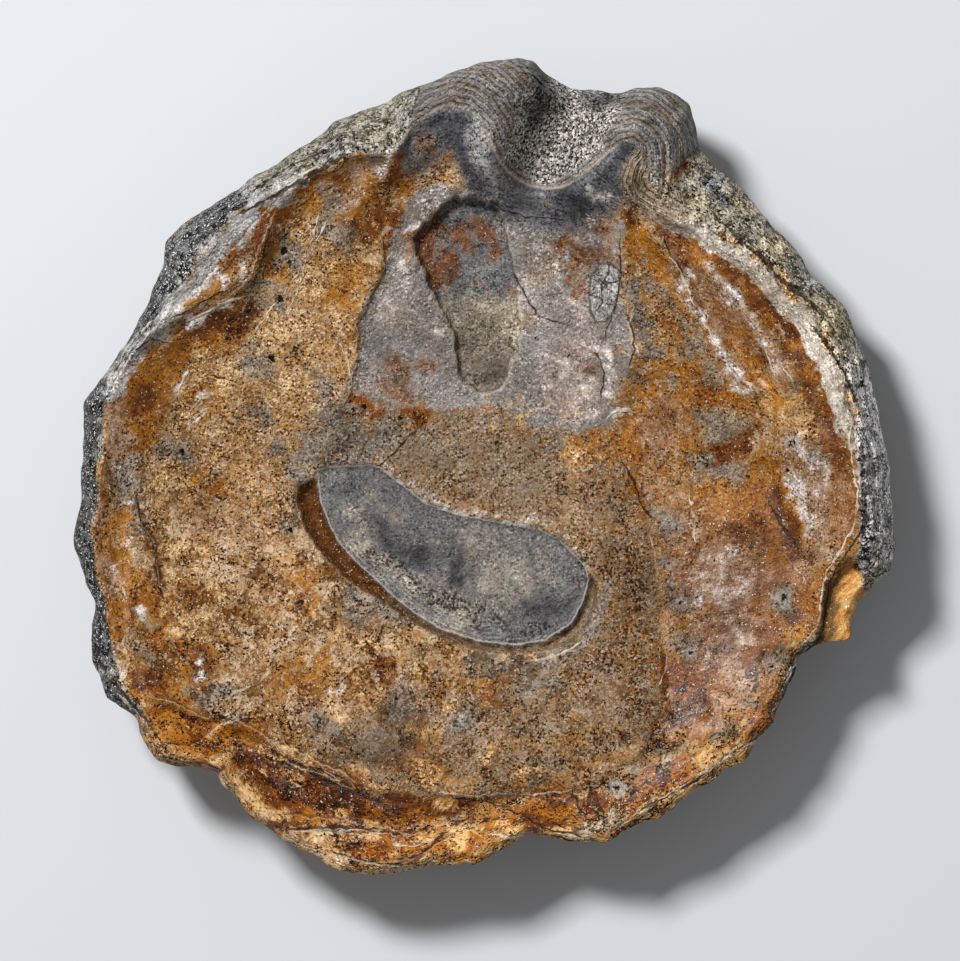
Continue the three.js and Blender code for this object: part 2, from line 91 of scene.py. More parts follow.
EDGE_HEIGHT = [
    (0, 12.5), (40, 13), (60, 14), (90, 14.5), (110, 14), (130, 13), (150, 12.5), (180, 12.5),
    (200, 13), (215, 14.5), (235, 15.2), (270, 15.6), (320, 16), (333, 15.5), (342, 14), (350, 12.5),
]
EDGE_THICKNESS = [
    (0, 2.2), (60, 3), (90, 3.5), (115, 2.5), (180, 2.2), (215, 3), (270, 3.2), (320, 3), (350, 2.2),
]
# The ligament area, from its sinuous lip round its back edge.
LIP = [
    (-11.6, 47.7), (-9.6, 49.7), (-7.1, 51.9), (-4.9, 52.4), (-2.6, 52), (-1.1, 50.9), (0.1, 49.3),
    (1, 47.1), (2, 44.7), (3.6, 42.8), (6.1, 41.2), (8.7, 40.6), (11.2, 40.8), (13.7, 42.1),
    (15.6, 43.8), (17.9, 45.8), (19.8, 47), (21.6, 47.2), (22.7, 46), (22.6, 43.5),
]
LIGAMENT = LIP + [(26, 42), (31.5, 47), (30.5, 57), (4, 62), (-9, 57)]
# The inner layer, which ends in a low ledge along its lower and right sides.
INNER_LAYER = [
    (19.6, 1.2), (17, 12), (13, 25), (0, 33), (-15, 33), (-30, 28), (-45, 16), (-50, 5), (-52, -10),
    (-52, -25), (-48.7, -33.2), (-43, -35.4), (-38.5, -36.5), (-34.1, -38.7), (-28.3, -41.6),
    (-22.5, -44.5), (-18.2, -46.7), (-12.4, -47.7), (-5, -47.4), (2.2, -47.7), (10.9, -47.2),
    (16.7, -45.3), (23.5, -41), (25.4, -35), (26.2, -29.3), (24.7, -19), (23.2, -6),
]
SCAR = [
    (-24.3, -0.2), (-22.5, 0.3), (-16.7, 0.5), (-15.3, 0.2), (-11.6, -2.7), (-8.7, -5),
    (-3.6, -6.8), (2.2, -7.8), (8, -8.9), (10.9, -10.4), (14.5, -14), (15.1, -16), (14.3, -19.1),
    (12.6, -22.4), (8.7, -24.9), (4.4, -25.6), (-1, -25), (-6.5, -23.2), (-10.2, -20.9),
    (-13.1, -18.7), (-16, -15.9), (-18.9, -13.3), (-21.1, -10.8), (-22.5, -8.2), (-23.9, -4.6),
]
# The groove's outer edge. It ends on the scar's outline, from the point of that number on.
GROOVE_START = 11
GROOVE = [
    (-24.6, -1.4), (-27, -2.5), (-27.3, -4.6), (-26.6, -7.5), (-25.1, -10.4), (-23.2, -12.9),
    (-20.3, -15.8), (-17.4, -17.9), (-14.5, -19.8), (-10.9, -22), (-6.5, -24.5), (-2.2, -26.1),
    (2.2, -26.7), (6.5, -26.8), (10.2, -26.1), (13.1, -24.9), (15, -22.7), (16.3, -19.8),
    (16.4, -17), (15.6, -15.5),
] + SCAR[GROOVE_START:]
HOLE = [
    (-4.6, 39.3), (-2.2, 39.2), (0, 38.7), (1.9, 37.6), (2.9, 35.8), (3.3, 33.2), (3.9, 30.3),
    (4.6, 27.4), (5, 21.6), (5.1, 19.4), (4.6, 17.2), (3.6, 15.8), (3.3, 13.6), (2.6, 12.1),
    (0.7, 11.1), (-1, 11.3), (-2.9, 12.6), (-3.9, 14.3), (-4.1, 17.2), (-4.6, 20.1), (-5.8, 22.3),
    (-7, 24.5), (-8, 26.7), (-8.7, 28.8), (-9.9, 31), (-10.2, 33.2), (-9.4, 34.9), (-8, 35.8),
    (-7, 37.3),
]
EDGE_CHIP = [
    (52.3, -12.9), (50.1, -16.2), (49, -19.8), (48.4, -24.2), (48.6, -27), (61, -27), (61, -18.5),
    (55, -17.5), (54.3, -13.5),
]
# Rounded folds: height, half-width and the path of the crest. Hollows have a height under 0.
FOLDS = [
    (2, 1.6, [(32, 29.5), (34.5, 27.3), (36.5, 24.8), (38.8, 21.5), (41, 17.8), (42.5, 15),
              (44, 13)]),
    (0.9, 2, [(45, 9), (46.5, 2), (47.5, -5), (48, -12)]),
    (1.5, 1.1, [(24, 34), (26, 31.5), (28, 29), (29.2, 26.5), (30.2, 24), (31.7, 21.5),
                (33.2, 19), (35, 16.5), (37, 13.8), (39.5, 11.3)]),
    (-1.2, 2, [(31, 33), (36, 29), (40, 25), (44, 20.5), (48, 14), (50, 7)]),
    (-0.9, 1.5, [(29.5, 28), (33, 22.5), (36.5, 17.5), (40, 13)]),
    (-0.8, 1.3, [(34.5, 2.7), (38, 3.8)]),
    (-0.5, 1.5, [(-37.5, 20.5), (-35, 19.5)]),
    (-0.7, 1.3, [(40.7, -0.2), (42.9, -6), (46.2, -13)]),
    (1, 1.6, [(-32.4, 33.2), (-33.9, 28.6), (-39.2, 24.9), (-46.5, 20.9), (-52.3, 17.2)]),
    (0.9, 1.7, [(-13.1, 44.1), (-18.2, 38.3), (-21, 33)]),
    (-0.8, 2.2, [(-24.5, 41.5), (-29.5, 31), (-33, 25)]),
    (0.9, 1.5, [(21, 42), (20.3, 34), (20, 26), (22, 18), (19.8, 10)]),
    (0.7, 1.4, [(-14.4, 32.2), (-15.9, 27.7), (-18.6, 22.5), (-18.4, 17.9), (-20.6, 9.5)]),
]
# Broken edges of leaves: how proud the edge stands, how far back the leaf falls off again, and the
# edge's path with the leaf on its left.
LEAF_EDGES = [
    (0.5, 3, [(-20.5, 9.5), (-19, 14), (-18.3, 18), (-18.6, 21), (-16, 26), (-14.4, 29), (-15, 33.5)]),
    (0.6, 2.5, [(-30, 38), (-32, 34), (-33, 31), (-34, 28), (-38, 24.5), (-41, 22.5), (-47, 17.5)]),
    (0.5, 2, [(-28, 40.5), (-31.5, 37.5), (-36, 32.5), (-41, 26.5), (-46, 21.5), (-51, 18)]),
    (0.4, 2, [(-47, -17), (-47.5, -14), (-48, -10.5), (-49.5, -8.5), (-50.5, -5.5)]),
    (0.5, 2.5, [(-39.5, -36.5), (-42, -35.5), (-45, -33.8), (-48, -33)]),
    (0.9, 3, [(-14, -48.3), (-16, -47), (-19, -45), (-22, -43.5), (-25, -42), (-31, -39.5),
              (-36, -36.5), (-38.5, -37), (-40.5, -39), (-43, -40.3), (-46, -39.8)]),
    (0.7, 2, [(-14.5, -49.5), (-17, -48), (-20, -46), (-23, -44.6), (-26.5, -43.5), (-29, -42),
              (-32, -41), (-34.5, -40.5), (-38, -41.5), (-41, -42.8)]),
    (0.6, 2, [(-3, -50.3), (-5.5, -51), (-7, -52), (-9, -53), (-12, -53), (-15, -52), (-20, -51),
              (-28.5, -50.3)]),
    (0.4, 2, [(-15, -53), (-18, -52.8), (-22, -52.5), (-28, -52.5)]),
    (0.5, 2, [(-5, -53.3), (-7, -54.5), (-9, -55.5), (-11, -56.5), (-14, -57), (-18, -56.8),
              (-21, -55.5)]),
    (0.5, 2, [(0, -53.2), (-2, -52.5), (-4.5, -52), (-6, -51.2)]),
    (0.6, 2, [(19, -53.5), (14, -53.7), (10, -53), (8, -52), (6, -50.8), (3, -49.5), (0, -48)]),
    (0.6, 2.5, [(40, -39), (36, -40.5), (33, -43), (31, -45), (29, -46.3), (26, -47.3), (24, -48),
                (22, -49.5), (20, -51.5)]),
]
# Across the ligament area, from the middle line of its trough, which leans to the right: how far to
# the right of it each ridge's crest lies, its height and half-width. The trough is one under 0.
TROUGH_MIDDLE = (8.7, 43.4)
TROUGH_LEAN = 0.44
RIDGES = [(-9.8, 1.9, 4.6), (10, 1.8, 4), (0, -6, 5.6)]
# Along the lower margin a furrow and a ridge: height, how far in from the edge, half-width, and the
# angles where it begins, is full from, is full to and ends.
MARGIN_WAVES = [(-2, 6.2, 2.6, (214, 226, 284, 296)), (0.7, 2.2, 1.1, (205, 225, 315, 335))]
# The edge's notches: how deep they are, how deep where the lower margin frays, and where that is.
NOTCH = 0.3
FRAY = 0.65
FRAYED = (205, 225, 330, 345)
# Heights of floors, and how far other features rise or sink. Tilts are a rise over a distance.
BOWL_FLOOR = 11.8
PLATE_RISE = 4.6
LIGAMENT_TOP = 23.4
LIP_HEIGHT = 0.55
LIP_DROP = 0.5
LEDGE_DROP = 0.8
SCAR_MIDDLE = (-2.0, -4.0)
SCAR_SINK = 0.8
SCAR_TILT = 0.035
SCAR_DISH = 0.012
GROOVE_DEPTH = 1.3
GROOVE_SHALLOW = 0.4
HOLE_FLOOR = 12.5
HOLE_TILT = 0.13
EDGE_CHIP_FLOOR = 15.3
# How steeply the bowl climbs to the rim and the underside to the edge, the flat foot's share of
# the way out, and how many ledges the flank falls in.
RIM_CLIMB = 5
UNDERSIDE_CURVE = 1.35
FOOT_SHARE = 0.4
FLANK_LEDGES = 3.5
# Turns in degrees over which the shell's notches are evened out towards its middle.
EVENING = np.linspace(-24, 24, 9)


def ease(value, low, high):
    """0 up to low, 1 from high on, and 3t^2 - 2t^3 between them."""
    t = np.clip((value - low) / (high - low), 0, 1)
    return t * t * (3 - 2 * t)


def within(value, start, full_from, full_to, end):
    """1 from full_from to full_to, eased down to 0 at start and at end."""
    return ease(value, start, full_from) * ease(-value, -end, -full_to)


def bell(distance, half):
    """exp(-(distance / half)^2)."""
    return np.exp(-((distance / half) ** 2))


def between(a, b, t):
    """a where t is 0, b where t is 1, and their straight mixture between."""
    return a + (b - a) * t


def around(table, degrees):
    """Value at each angle of a closed table of (degrees, value), eased between its entries."""
    at = np.array([row[0] for row in table] + [table[0][0] + 360])
    value = np.array([row[1] for row in table] + [table[0][1]])
    i = np.clip(np.searchsorted(at, degrees, side="right") - 1, 0, len(table) - 1)
    return between(value[i], value[i + 1], ease(degrees, at[i], at[i + 1]))


def hills(x, y, wave, seed):
    """Smooth random hills about -1 to 1 high: a random slope at each corner of a square lattice of
    that wavelength, blended across each square by 6t^5 - 15t^4 + 10t^3."""
    lattice = 256
    turn = np.random.RandomState(seed).rand(lattice, lattice) * 2 * np.pi
    u, v = x / wave + 100.5, y / wave + 100.5
    i, j = np.floor(u).astype(int), np.floor(v).astype(int)
    s, t = u - i, v - j

    def slope(a, b):
        """Height at each point of the slope through one corner of its square."""
        angle = turn[(i + a) % lattice, (j + b) % lattice]
        return np.cos(angle) * (s - a) + np.sin(angle) * (t - b)

    blend_s = s**3 * (s * (6 * s - 15) + 10)
    blend_t = t**3 * (t * (6 * t - 15) + 10)
    low = between(slope(0, 0), slope(1, 0), blend_s)
    high = between(slope(0, 1), slope(1, 1), blend_s)
    return 1.5 * between(low, high, blend_t)


def rough(x, y, wave, seed, octaves=3, keep=0.5):
    """Hills on hills: each octave has half the wavelength of the last and keep times its height."""
    return sum(keep**k * hills(x, y, wave / 2**k, seed + k) for k in range(octaves))


def to_path(path, x, y):
    """Distance of each point from a chain of straight stretches, and which side of it the point is
    on: the nearest stretch counts, with +1 on its left and -1 on its right."""
    nearest = np.full(np.shape(x), np.inf)
    side = np.ones(np.shape(x))
    for (ax, ay), (bx, by) in zip(path[:-1], path[1:]):
        across, along = bx - ax, by - ay
        t = np.clip(((x - ax) * across + (y - ay) * along) / (across**2 + along**2), 0, 1)
        away = np.hypot(x - ax - t * across, y - ay - t * along)
        closer = away < nearest
        nearest = np.where(closer, away, nearest)
        left = np.where(across * (y - ay) - along * (x - ax) > 0, 1.0, -1.0)
        side = np.where(closer, left, side)
    return nearest, side


def depth_in(outline, x, y):
    """Distance of each point from a closed outline, over 0 inside it. A point is inside where a
    level line from it crosses the outline an odd number of times."""
    closed = outline + outline[:1]
    inside = np.zeros(np.shape(x), bool)
    for (ax, ay), (bx, by) in zip(closed[:-1], closed[1:]):
        if ay != by:
            crosses = ((ay > y) != (by > y)) & (x < (bx - ax) * (y - ay) / (by - ay) + ax)
            inside ^= crosses
    return np.where(inside, 1, -1) * to_path(closed, x, y)[0]


def angle_of(x, y):
    """Angle of each point about the middle, 0 to 360 degrees from +X towards the hinge."""
    return np.degrees(np.arctan2(y, x)) % 360


# The edge's distance from the middle at every quarter of a degree: the outline's straight
# stretches, evened over a degree and then made ragged, most of all along the lower margin.
EDGE_ANGLES = np.arange(0, 360, 0.25)


def make_edge():
    """Radius at each of the edge's angles: the outline's points joined up in 8 steps each, read by
    angle, averaged over 5 neighbours, plus random notches 1 to 5 mm long, less 0.2 mm for wear."""
    points = np.array(OUTLINE + OUTLINE[:1])
    steps = np.linspace(0, 1, 8, endpoint=False)[:, None, None]
    dense = between(points[None, :-1], points[None, 1:], steps).reshape(-1, 2)
    degrees = angle_of(dense[:, 0], dense[:, 1])
    order = np.argsort(degrees)
    radius = np.interp(EDGE_ANGLES, degrees[order], np.hypot(*dense.T)[order], period=360)
    radius = np.mean([np.roll(radius, k) for k in (-2, -1, 0, 1, 2)], axis=0)
    turn = np.radians(EDGE_ANGLES)
    ring_x, ring_y = 55 * np.cos(turn), 55 * np.sin(turn)
    notches = rough(ring_x, ring_y, 4, 3, 3)
    return radius + notches * between(NOTCH, FRAY, within(EDGE_ANGLES, *FRAYED)) - 0.2


EDGE_RADII = make_edge()
# The same, its notches evened out over ten degrees.
EVEN_RADII = np.mean([np.roll(EDGE_RADII, k) for k in range(-20, 21)], axis=0)


def edge_radius(degrees):
    """How far the edge lies from the middle at each angle."""
    return np.interp(degrees % 360, EDGE_ANGLES, EDGE_RADII, period=360)


def inset_of(x, y):
    """How far each point lies in from the edge, its notches evened out."""
    even = np.interp(angle_of(x, y), EDGE_ANGLES, EVEN_RADII, period=360)
    return even - np.hypot(x, y)


def crest_radius(degrees):
    """How far the rim's crest lies from the middle at each angle: the edge less the rim's inset."""
    return edge_radius(degrees) - around(RIM_INSET, degrees % 360)


def share_out(x, y, radius_at):
    """How far out each point lies, as a share of the way from the middle to a line round the shell.
    Near the line its notches count, and towards the middle they are evened out."""
    degrees = angle_of(x, y)
    exact = radius_at(degrees)
    even = np.mean([radius_at(degrees + turn) for turn in EVENING], axis=0)
    r = np.hypot(x, y)
    return r / between(even, exact, np.minimum(r / exact, 1) ** 20)


def trough_across(x, y):
    """Distance to the right of the trough's middle line, which leans to the right towards +Y."""
    return x - TROUGH_MIDDLE[0] - TROUGH_LEAN * (y - TROUGH_MIDDLE[1])


def make_field():
    """Outline of the bowl's field: the rim's crest on both sides, closed by the ligament's lip."""
    turns = np.arange(-255, 58, 3)
    radius = crest_radius(turns)
    crest = list(zip(radius * np.cos(np.radians(turns)), radius * np.sin(np.radians(turns))))
    return crest + LIP[::-1]


FIELD = make_field()


def inside_height(x, y):
    """The inside: a floor that rises to the plate under the hinge and climbs to the rim as the
    fifth power of the way out, then the ligament area, folds, leaves' edges, ledge and margin."""
    degrees = angle_of(x, y)
    outwards = np.minimum(share_out(x, y, crest_radius), 1)
    floor = BOWL_FLOOR + PLATE_RISE * ease(y, -6, 34)
    z = between(floor, around(RIM_HEIGHT, degrees), outwards**RIM_CLIMB)

    into_ligament = depth_in(LIGAMENT, x, y)
    z = between(z, np.maximum(z, LIGAMENT_TOP), ease(into_ligament, -8.5, 1))
    across = trough_across(x, y)
    ridges = sum(height * bell(across - at, half) for at, height, half in RIDGES)
    z += ridges * ease(into_ligament, -9, 2)
    lower_lip = ease(-y, -54, -51)
    z += LIP_HEIGHT * bell(into_ligament + 0.9, 1.1) * lower_lip
    z -= LIP_DROP * ease(into_ligament, 0, 0.7) * bell(across, 7) * lower_lip

    for height, half, path in FOLDS:
        z += height * bell(to_path(path, x, y)[0], half)
    wobble = 0.35 * rough(x, y, 3.5, 40, 3)
    for proud, fall, path in LEAF_EDGES:
        away, side = to_path(path, x, y)
        signed = away * side + wobble
        leaf = proud * ease(signed, -0.3, 0.4) * np.exp(-np.maximum(signed, 0) / fall)
        z += leaf * (away < 4 * fall)

    below_plate = ease(-y, -4, 2)
    into_layer = depth_in(INNER_LAYER, x, y) + 1.2 * wobble
    z -= LEDGE_DROP * below_plate * ease(-into_layer, -0.4, 0.6)

    inset = inset_of(x, y)
    for height, at, half, arc in MARGIN_WAVES:
        z += height * within(degrees, *arc) * bell(inset - at, half)
    return z


def upper_height(x, y):
    """The upper surface: the inside, past the rim's crest a steep fall to the edge in ragged
    ledges, and everywhere the unevenness of growth and wear."""
    degrees = angle_of(x, y)
    inset = around(RIM_INSET, degrees)
    beyond = np.hypot(x, y) - crest_radius(degrees)
    t = np.clip(1 - beyond / inset, 0, 1)
    z = inside_height(x, y)
    steps = FLANK_LEDGES * (1 - t) + 0.8 * rough(x, y, 9, 11, 2)
    wave = 2 * np.pi * steps
    ledges = 0.05 * np.sin(wave + 0.8 * np.sin(wave)) * np.sin(np.pi * t)
    fall = np.clip(np.sin(np.pi / 2 * t) ** 0.8 + ledges, 0, 1)
    z = between(around(EDGE_HEIGHT, degrees), z, fall)

    flank = ease(beyond, -0.5, 1)
    z += 0.3 * hills(x, y, 14, 5) + 0.16 * hills(x, y, 6, 6)
    z += between(0.11, 0.35, flank) * rough(x, y, 3, 20, 3, 0.6)
    return z


def with_scars(x, y, z):
    """Cuts the muscle scar, the groove beside it, the fallen-in hole and the edge chip into the
    upper surface. Each has a floor of its own, which the surface drops to over about two thirds of
    a millimetre at the feature's outline, and over two millimetres in the groove."""
    ragged = 0.25 * rough(x, y, 1.6, 50, 2)
    level = inside_height(*np.array([SCAR_MIDDLE]).T)[0] - SCAR_SINK
    scar_floor = level + SCAR_TILT * (y - SCAR_MIDDLE[1]) + SCAR_DISH * np.abs(x)
    scar_floor = scar_floor + 0.05 * rough(x, y, 4, 60, 2)
    into_scar = depth_in(SCAR, x, y)
    into_groove = depth_in(GROOVE, x, y) + ragged
    groove_sink = between(GROOVE_DEPTH, GROOVE_SHALLOW, ease(x, -18, 0))
    groove_floor = scar_floor - groove_sink + 0.15 * rough(x, y, 2, 62, 2)
    groove = ease(into_groove, -0.6, 1.4) * ease(-into_scar, -0.5, 0.1)
    z = between(z, np.minimum(z, groove_floor), groove)
    z = between(z, np.minimum(z, scar_floor), ease(into_scar, -0.3, 0.35))

    hole_floor = HOLE_FLOOR + HOLE_TILT * (y - 11) + 0.35 * rough(x, y, 3.5, 64, 3, 0.6)
    hole = ease(depth_in(HOLE, x, y) + 1.3 * ragged, -0.3, 0.4)
    z = between(z, np.minimum(z, hole_floor), hole)

    chip_floor = EDGE_CHIP_FLOOR + 0.3 * rough(x, y, 2.5, 66, 2)
    chip = ease(depth_in(EDGE_CHIP, x, y) + ragged, -0.3, 0.4)
    return between(z, np.minimum(z, chip_floor), chip)


def outside_height(x, y):
    """The underside: flat over the foot, then rising outwards to the edge as a power of the way."""
    degrees = angle_of(x, y)
    top = around(EDGE_HEIGHT, degrees) - around(EDGE_THICKNESS, degrees)
    beyond_foot = (share_out(x, y, edge_radius) - FOOT_SHARE) / (1 - FOOT_SHARE)
    return top * np.clip(beyond_foot, 0, 1) ** UNDERSIDE_CURVE


# ---- Fossil valve: its mesh ----
# The upper surface is a square grid of GRID cells a side rounded to a disc, and its ring RIM_RING
# runs on the rim's crest. The edge is a band of thin leaves' ends, and the underside is rings of
# growth drawn in towards the umbo.
GRID = 256
RIM_RING = 108
HALF = GRID // 2
COLUMNS = 4 * GRID
# The edge's band: rows of points, leaves' ends that show, and how deep the gaps between them are.
BAND_ROWS = 5
BAND_LEAVES = 2.5
BAND_GAP = 0.9
# The underside's growth layers: how far the first is set in, how many there are, the rings in each,
# how far a layer's lip stands proud, where the lip starts, and the share where rings end.
UNDERCUT = 0.6
LAMELLAE = 13
RINGS_IN_LAMELLA = 4
LAMELLA_STEP = 0.9
LAMELLA_LIP = 0.97
SMALLEST_RING = 0.03
UMBO = (4, 44)


def disc_points():
    """Plan positions of the grid's corners: each square ring becomes a ring of the shell's own
    shape, each side of the square a quarter turn, and ring RIM_RING runs on the rim's crest."""
    a, b = np.meshgrid(np.arange(-HALF, HALF + 1), np.arange(-HALF, HALF + 1))
    ring = np.maximum(np.abs(a), np.abs(b))
    safe_a, safe_b = np.where(a == 0, 1, a), np.where(b == 0, 1, b)
    sideways = np.where(a > 0, 0, 180) + 45 * b / safe_a
    upright = np.where(b > 0, 90, 270) - 45 * a / safe_b
    degrees = np.where(np.abs(a) >= np.abs(b), sideways, upright) % 360
    crest, edge = crest_radius(degrees), edge_radius(degrees)
    outer = between(crest, edge, (ring - RIM_RING) / (HALF - RIM_RING))
    radius = np.where(ring <= RIM_RING, crest * ring / RIM_RING, outer)
    turn = np.radians(degrees)
    return radius * np.cos(turn), radius * np.sin(turn)


upper_x, upper_y = disc_points()
upper_z = with_scars(upper_x, upper_y, upper_height(upper_x, upper_y))
number = np.arange((GRID + 1) ** 2).reshape(GRID + 1, GRID + 1)
upper_faces = np.stack(
    [number[:-1, :-1], number[:-1, 1:], number[1:, 1:], number[1:, :-1]], axis=-1
).reshape(-1, 4)
border = np.concatenate(
    [number[:-1, -1], number[-1, :0:-1], number[:0:-1, 0], number[0, :-1]]
)


def ring_faces(above, below):
    """Squares between two closed rings of the same count, the first above the second."""
    return np.stack([above, below, np.roll(below, -1), np.roll(above, -1)], axis=-1)


def halving_faces(above, below):
    """Between a ring and one of half its count below it: each pair of the upper ring's stretches
    makes three triangles with one stretch of the lower ring."""
    a, b, c = above[0::2], above[1::2], np.roll(above, -2)[0::2]
    p, q = below, np.roll(below, -1)
    return np.concatenate([np.stack(t, axis=-1) for t in ((a, p, b), (b, p, q), (b, q, c))])


shell_x, shell_y, shell_z = [upper_x.ravel()], [upper_y.ravel()], [upper_z.ravel()]
squares, triangles = [upper_faces], []
count = (GRID + 1) ** 2


def add_ring(x, y, z):
    """Adds a ring of points to the shell and returns their numbers."""
    global count
    shell_x.append(x)
    shell_y.append(y)
    shell_z.append(z)
    count += len(x)
    return np.arange(count - len(x), count)


columns = (315 + 360 * np.arange(COLUMNS) / COLUMNS) % 360
turn = np.radians(columns)
edge = edge_radius(columns)
edge_x, edge_y = edge * np.cos(turn), edge * np.sin(turn)
edge_top = upper_z.ravel()[border]
edge_low = outside_height(edge_x, edge_y)
ring_above = border
for row in range(1, BAND_ROWS + 1):
    share = row / (BAND_ROWS + 1)
    z = between(edge_top, edge_low, share)
    gap = 0.5 + 0.5 * np.cos(2 * np.pi * BAND_LEAVES * share + 2 * hills(edge_x, edge_y, 15, 70))
    ends = 0.25 * rough(edge_x, edge_y, 3, 71 + 3 * row, 3)
    r = edge - BAND_GAP * gap - np.abs(ends)
    ring = add_ring(r * np.cos(turn), r * np.sin(turn), z)
    squares.append(ring_faces(ring_above, ring))
    ring_above = ring


def growth_ring(share, proud):
    """A growth line of the outside: the edge drawn in towards the umbo by a share, wandering a
    little, and standing proud of the even outside except on the flat foot."""
    degrees = columns[::2]
    r = edge_radius(degrees) - UNDERCUT
    x0, y0 = r * np.cos(np.radians(degrees)), r * np.sin(np.radians(degrees))
    wander = 0.012 * hills(x0, y0, 12, 80 + int(LAMELLAE * share)) if share < 1 else 0
    x = between(UMBO[0], x0, share + wander)
    y = between(UMBO[1], y0, share + wander)
    z = outside_height(x, y)
    off_foot = ease(z, 0, 1.5)
    uneven = 0.25 * rough(x, y, 5, 90, 3) + 0.12 * rough(x, y, 1.5, 95, 2)
    return x, y, np.maximum(z - (proud + uneven) * off_foot, 0)


ring = add_ring(*growth_ring(1, 0))
triangles.append(halving_faces(ring_above, ring))
ring_above = ring
for layer in range(LAMELLAE, 0, -1):
    for step in range(RINGS_IN_LAMELLA):
        along = LAMELLA_LIP if step == 0 else 1 - step / RINGS_IN_LAMELLA
        share = (layer - 1 + along) / LAMELLAE
        if share > SMALLEST_RING:
            ring = add_ring(*growth_ring(share, LAMELLA_STEP * along))
            squares.append(ring_faces(ring_above, ring))
            ring_above = ring
umbo_x, umbo_y = np.array([UMBO], float).T
apex = add_ring(umbo_x, umbo_y, outside_height(umbo_x, umbo_y))
triangles.append(
    np.stack([ring_above, np.full(len(ring_above), apex[0]), np.roll(ring_above, -1)], axis=-1)
)


def shell_mesh(name, points, squares, triangles):
    """A mesh of squares and triangles from arrays of points, in millimetres, and point numbers."""
    mesh = bpy.data.meshes.new(name)
    mesh.vertices.add(len(points))
    mesh.vertices.foreach_set("co", (points * MM).astype(np.float32).ravel())
    loops = np.concatenate([squares.ravel(), triangles.ravel()])
    mesh.loops.add(len(loops))
    mesh.loops.foreach_set("vertex_index", loops)
    sizes = np.concatenate([np.full(len(squares), 4), np.full(len(triangles), 3)])
    mesh.polygons.add(len(sizes))
    mesh.polygons.foreach_set("loop_start", np.concatenate([[0], np.cumsum(sizes)[:-1]]))
    mesh.polygons.foreach_set("use_smooth", np.ones(len(sizes), bool))
    mesh.update(calc_edges=True)
    mesh.validate()
    return mesh


points = np.stack([np.concatenate(shell_x), np.concatenate(shell_y), np.concatenate(shell_z)], axis=-1)
valve_mesh = shell_mesh("fossil_valve", points, np.concatenate(squares), np.concatenate(triangles))
valve = bpy.data.objects.new("fossil_valve", valve_mesh)
bpy.context.scene.collection.objects.link(valve)

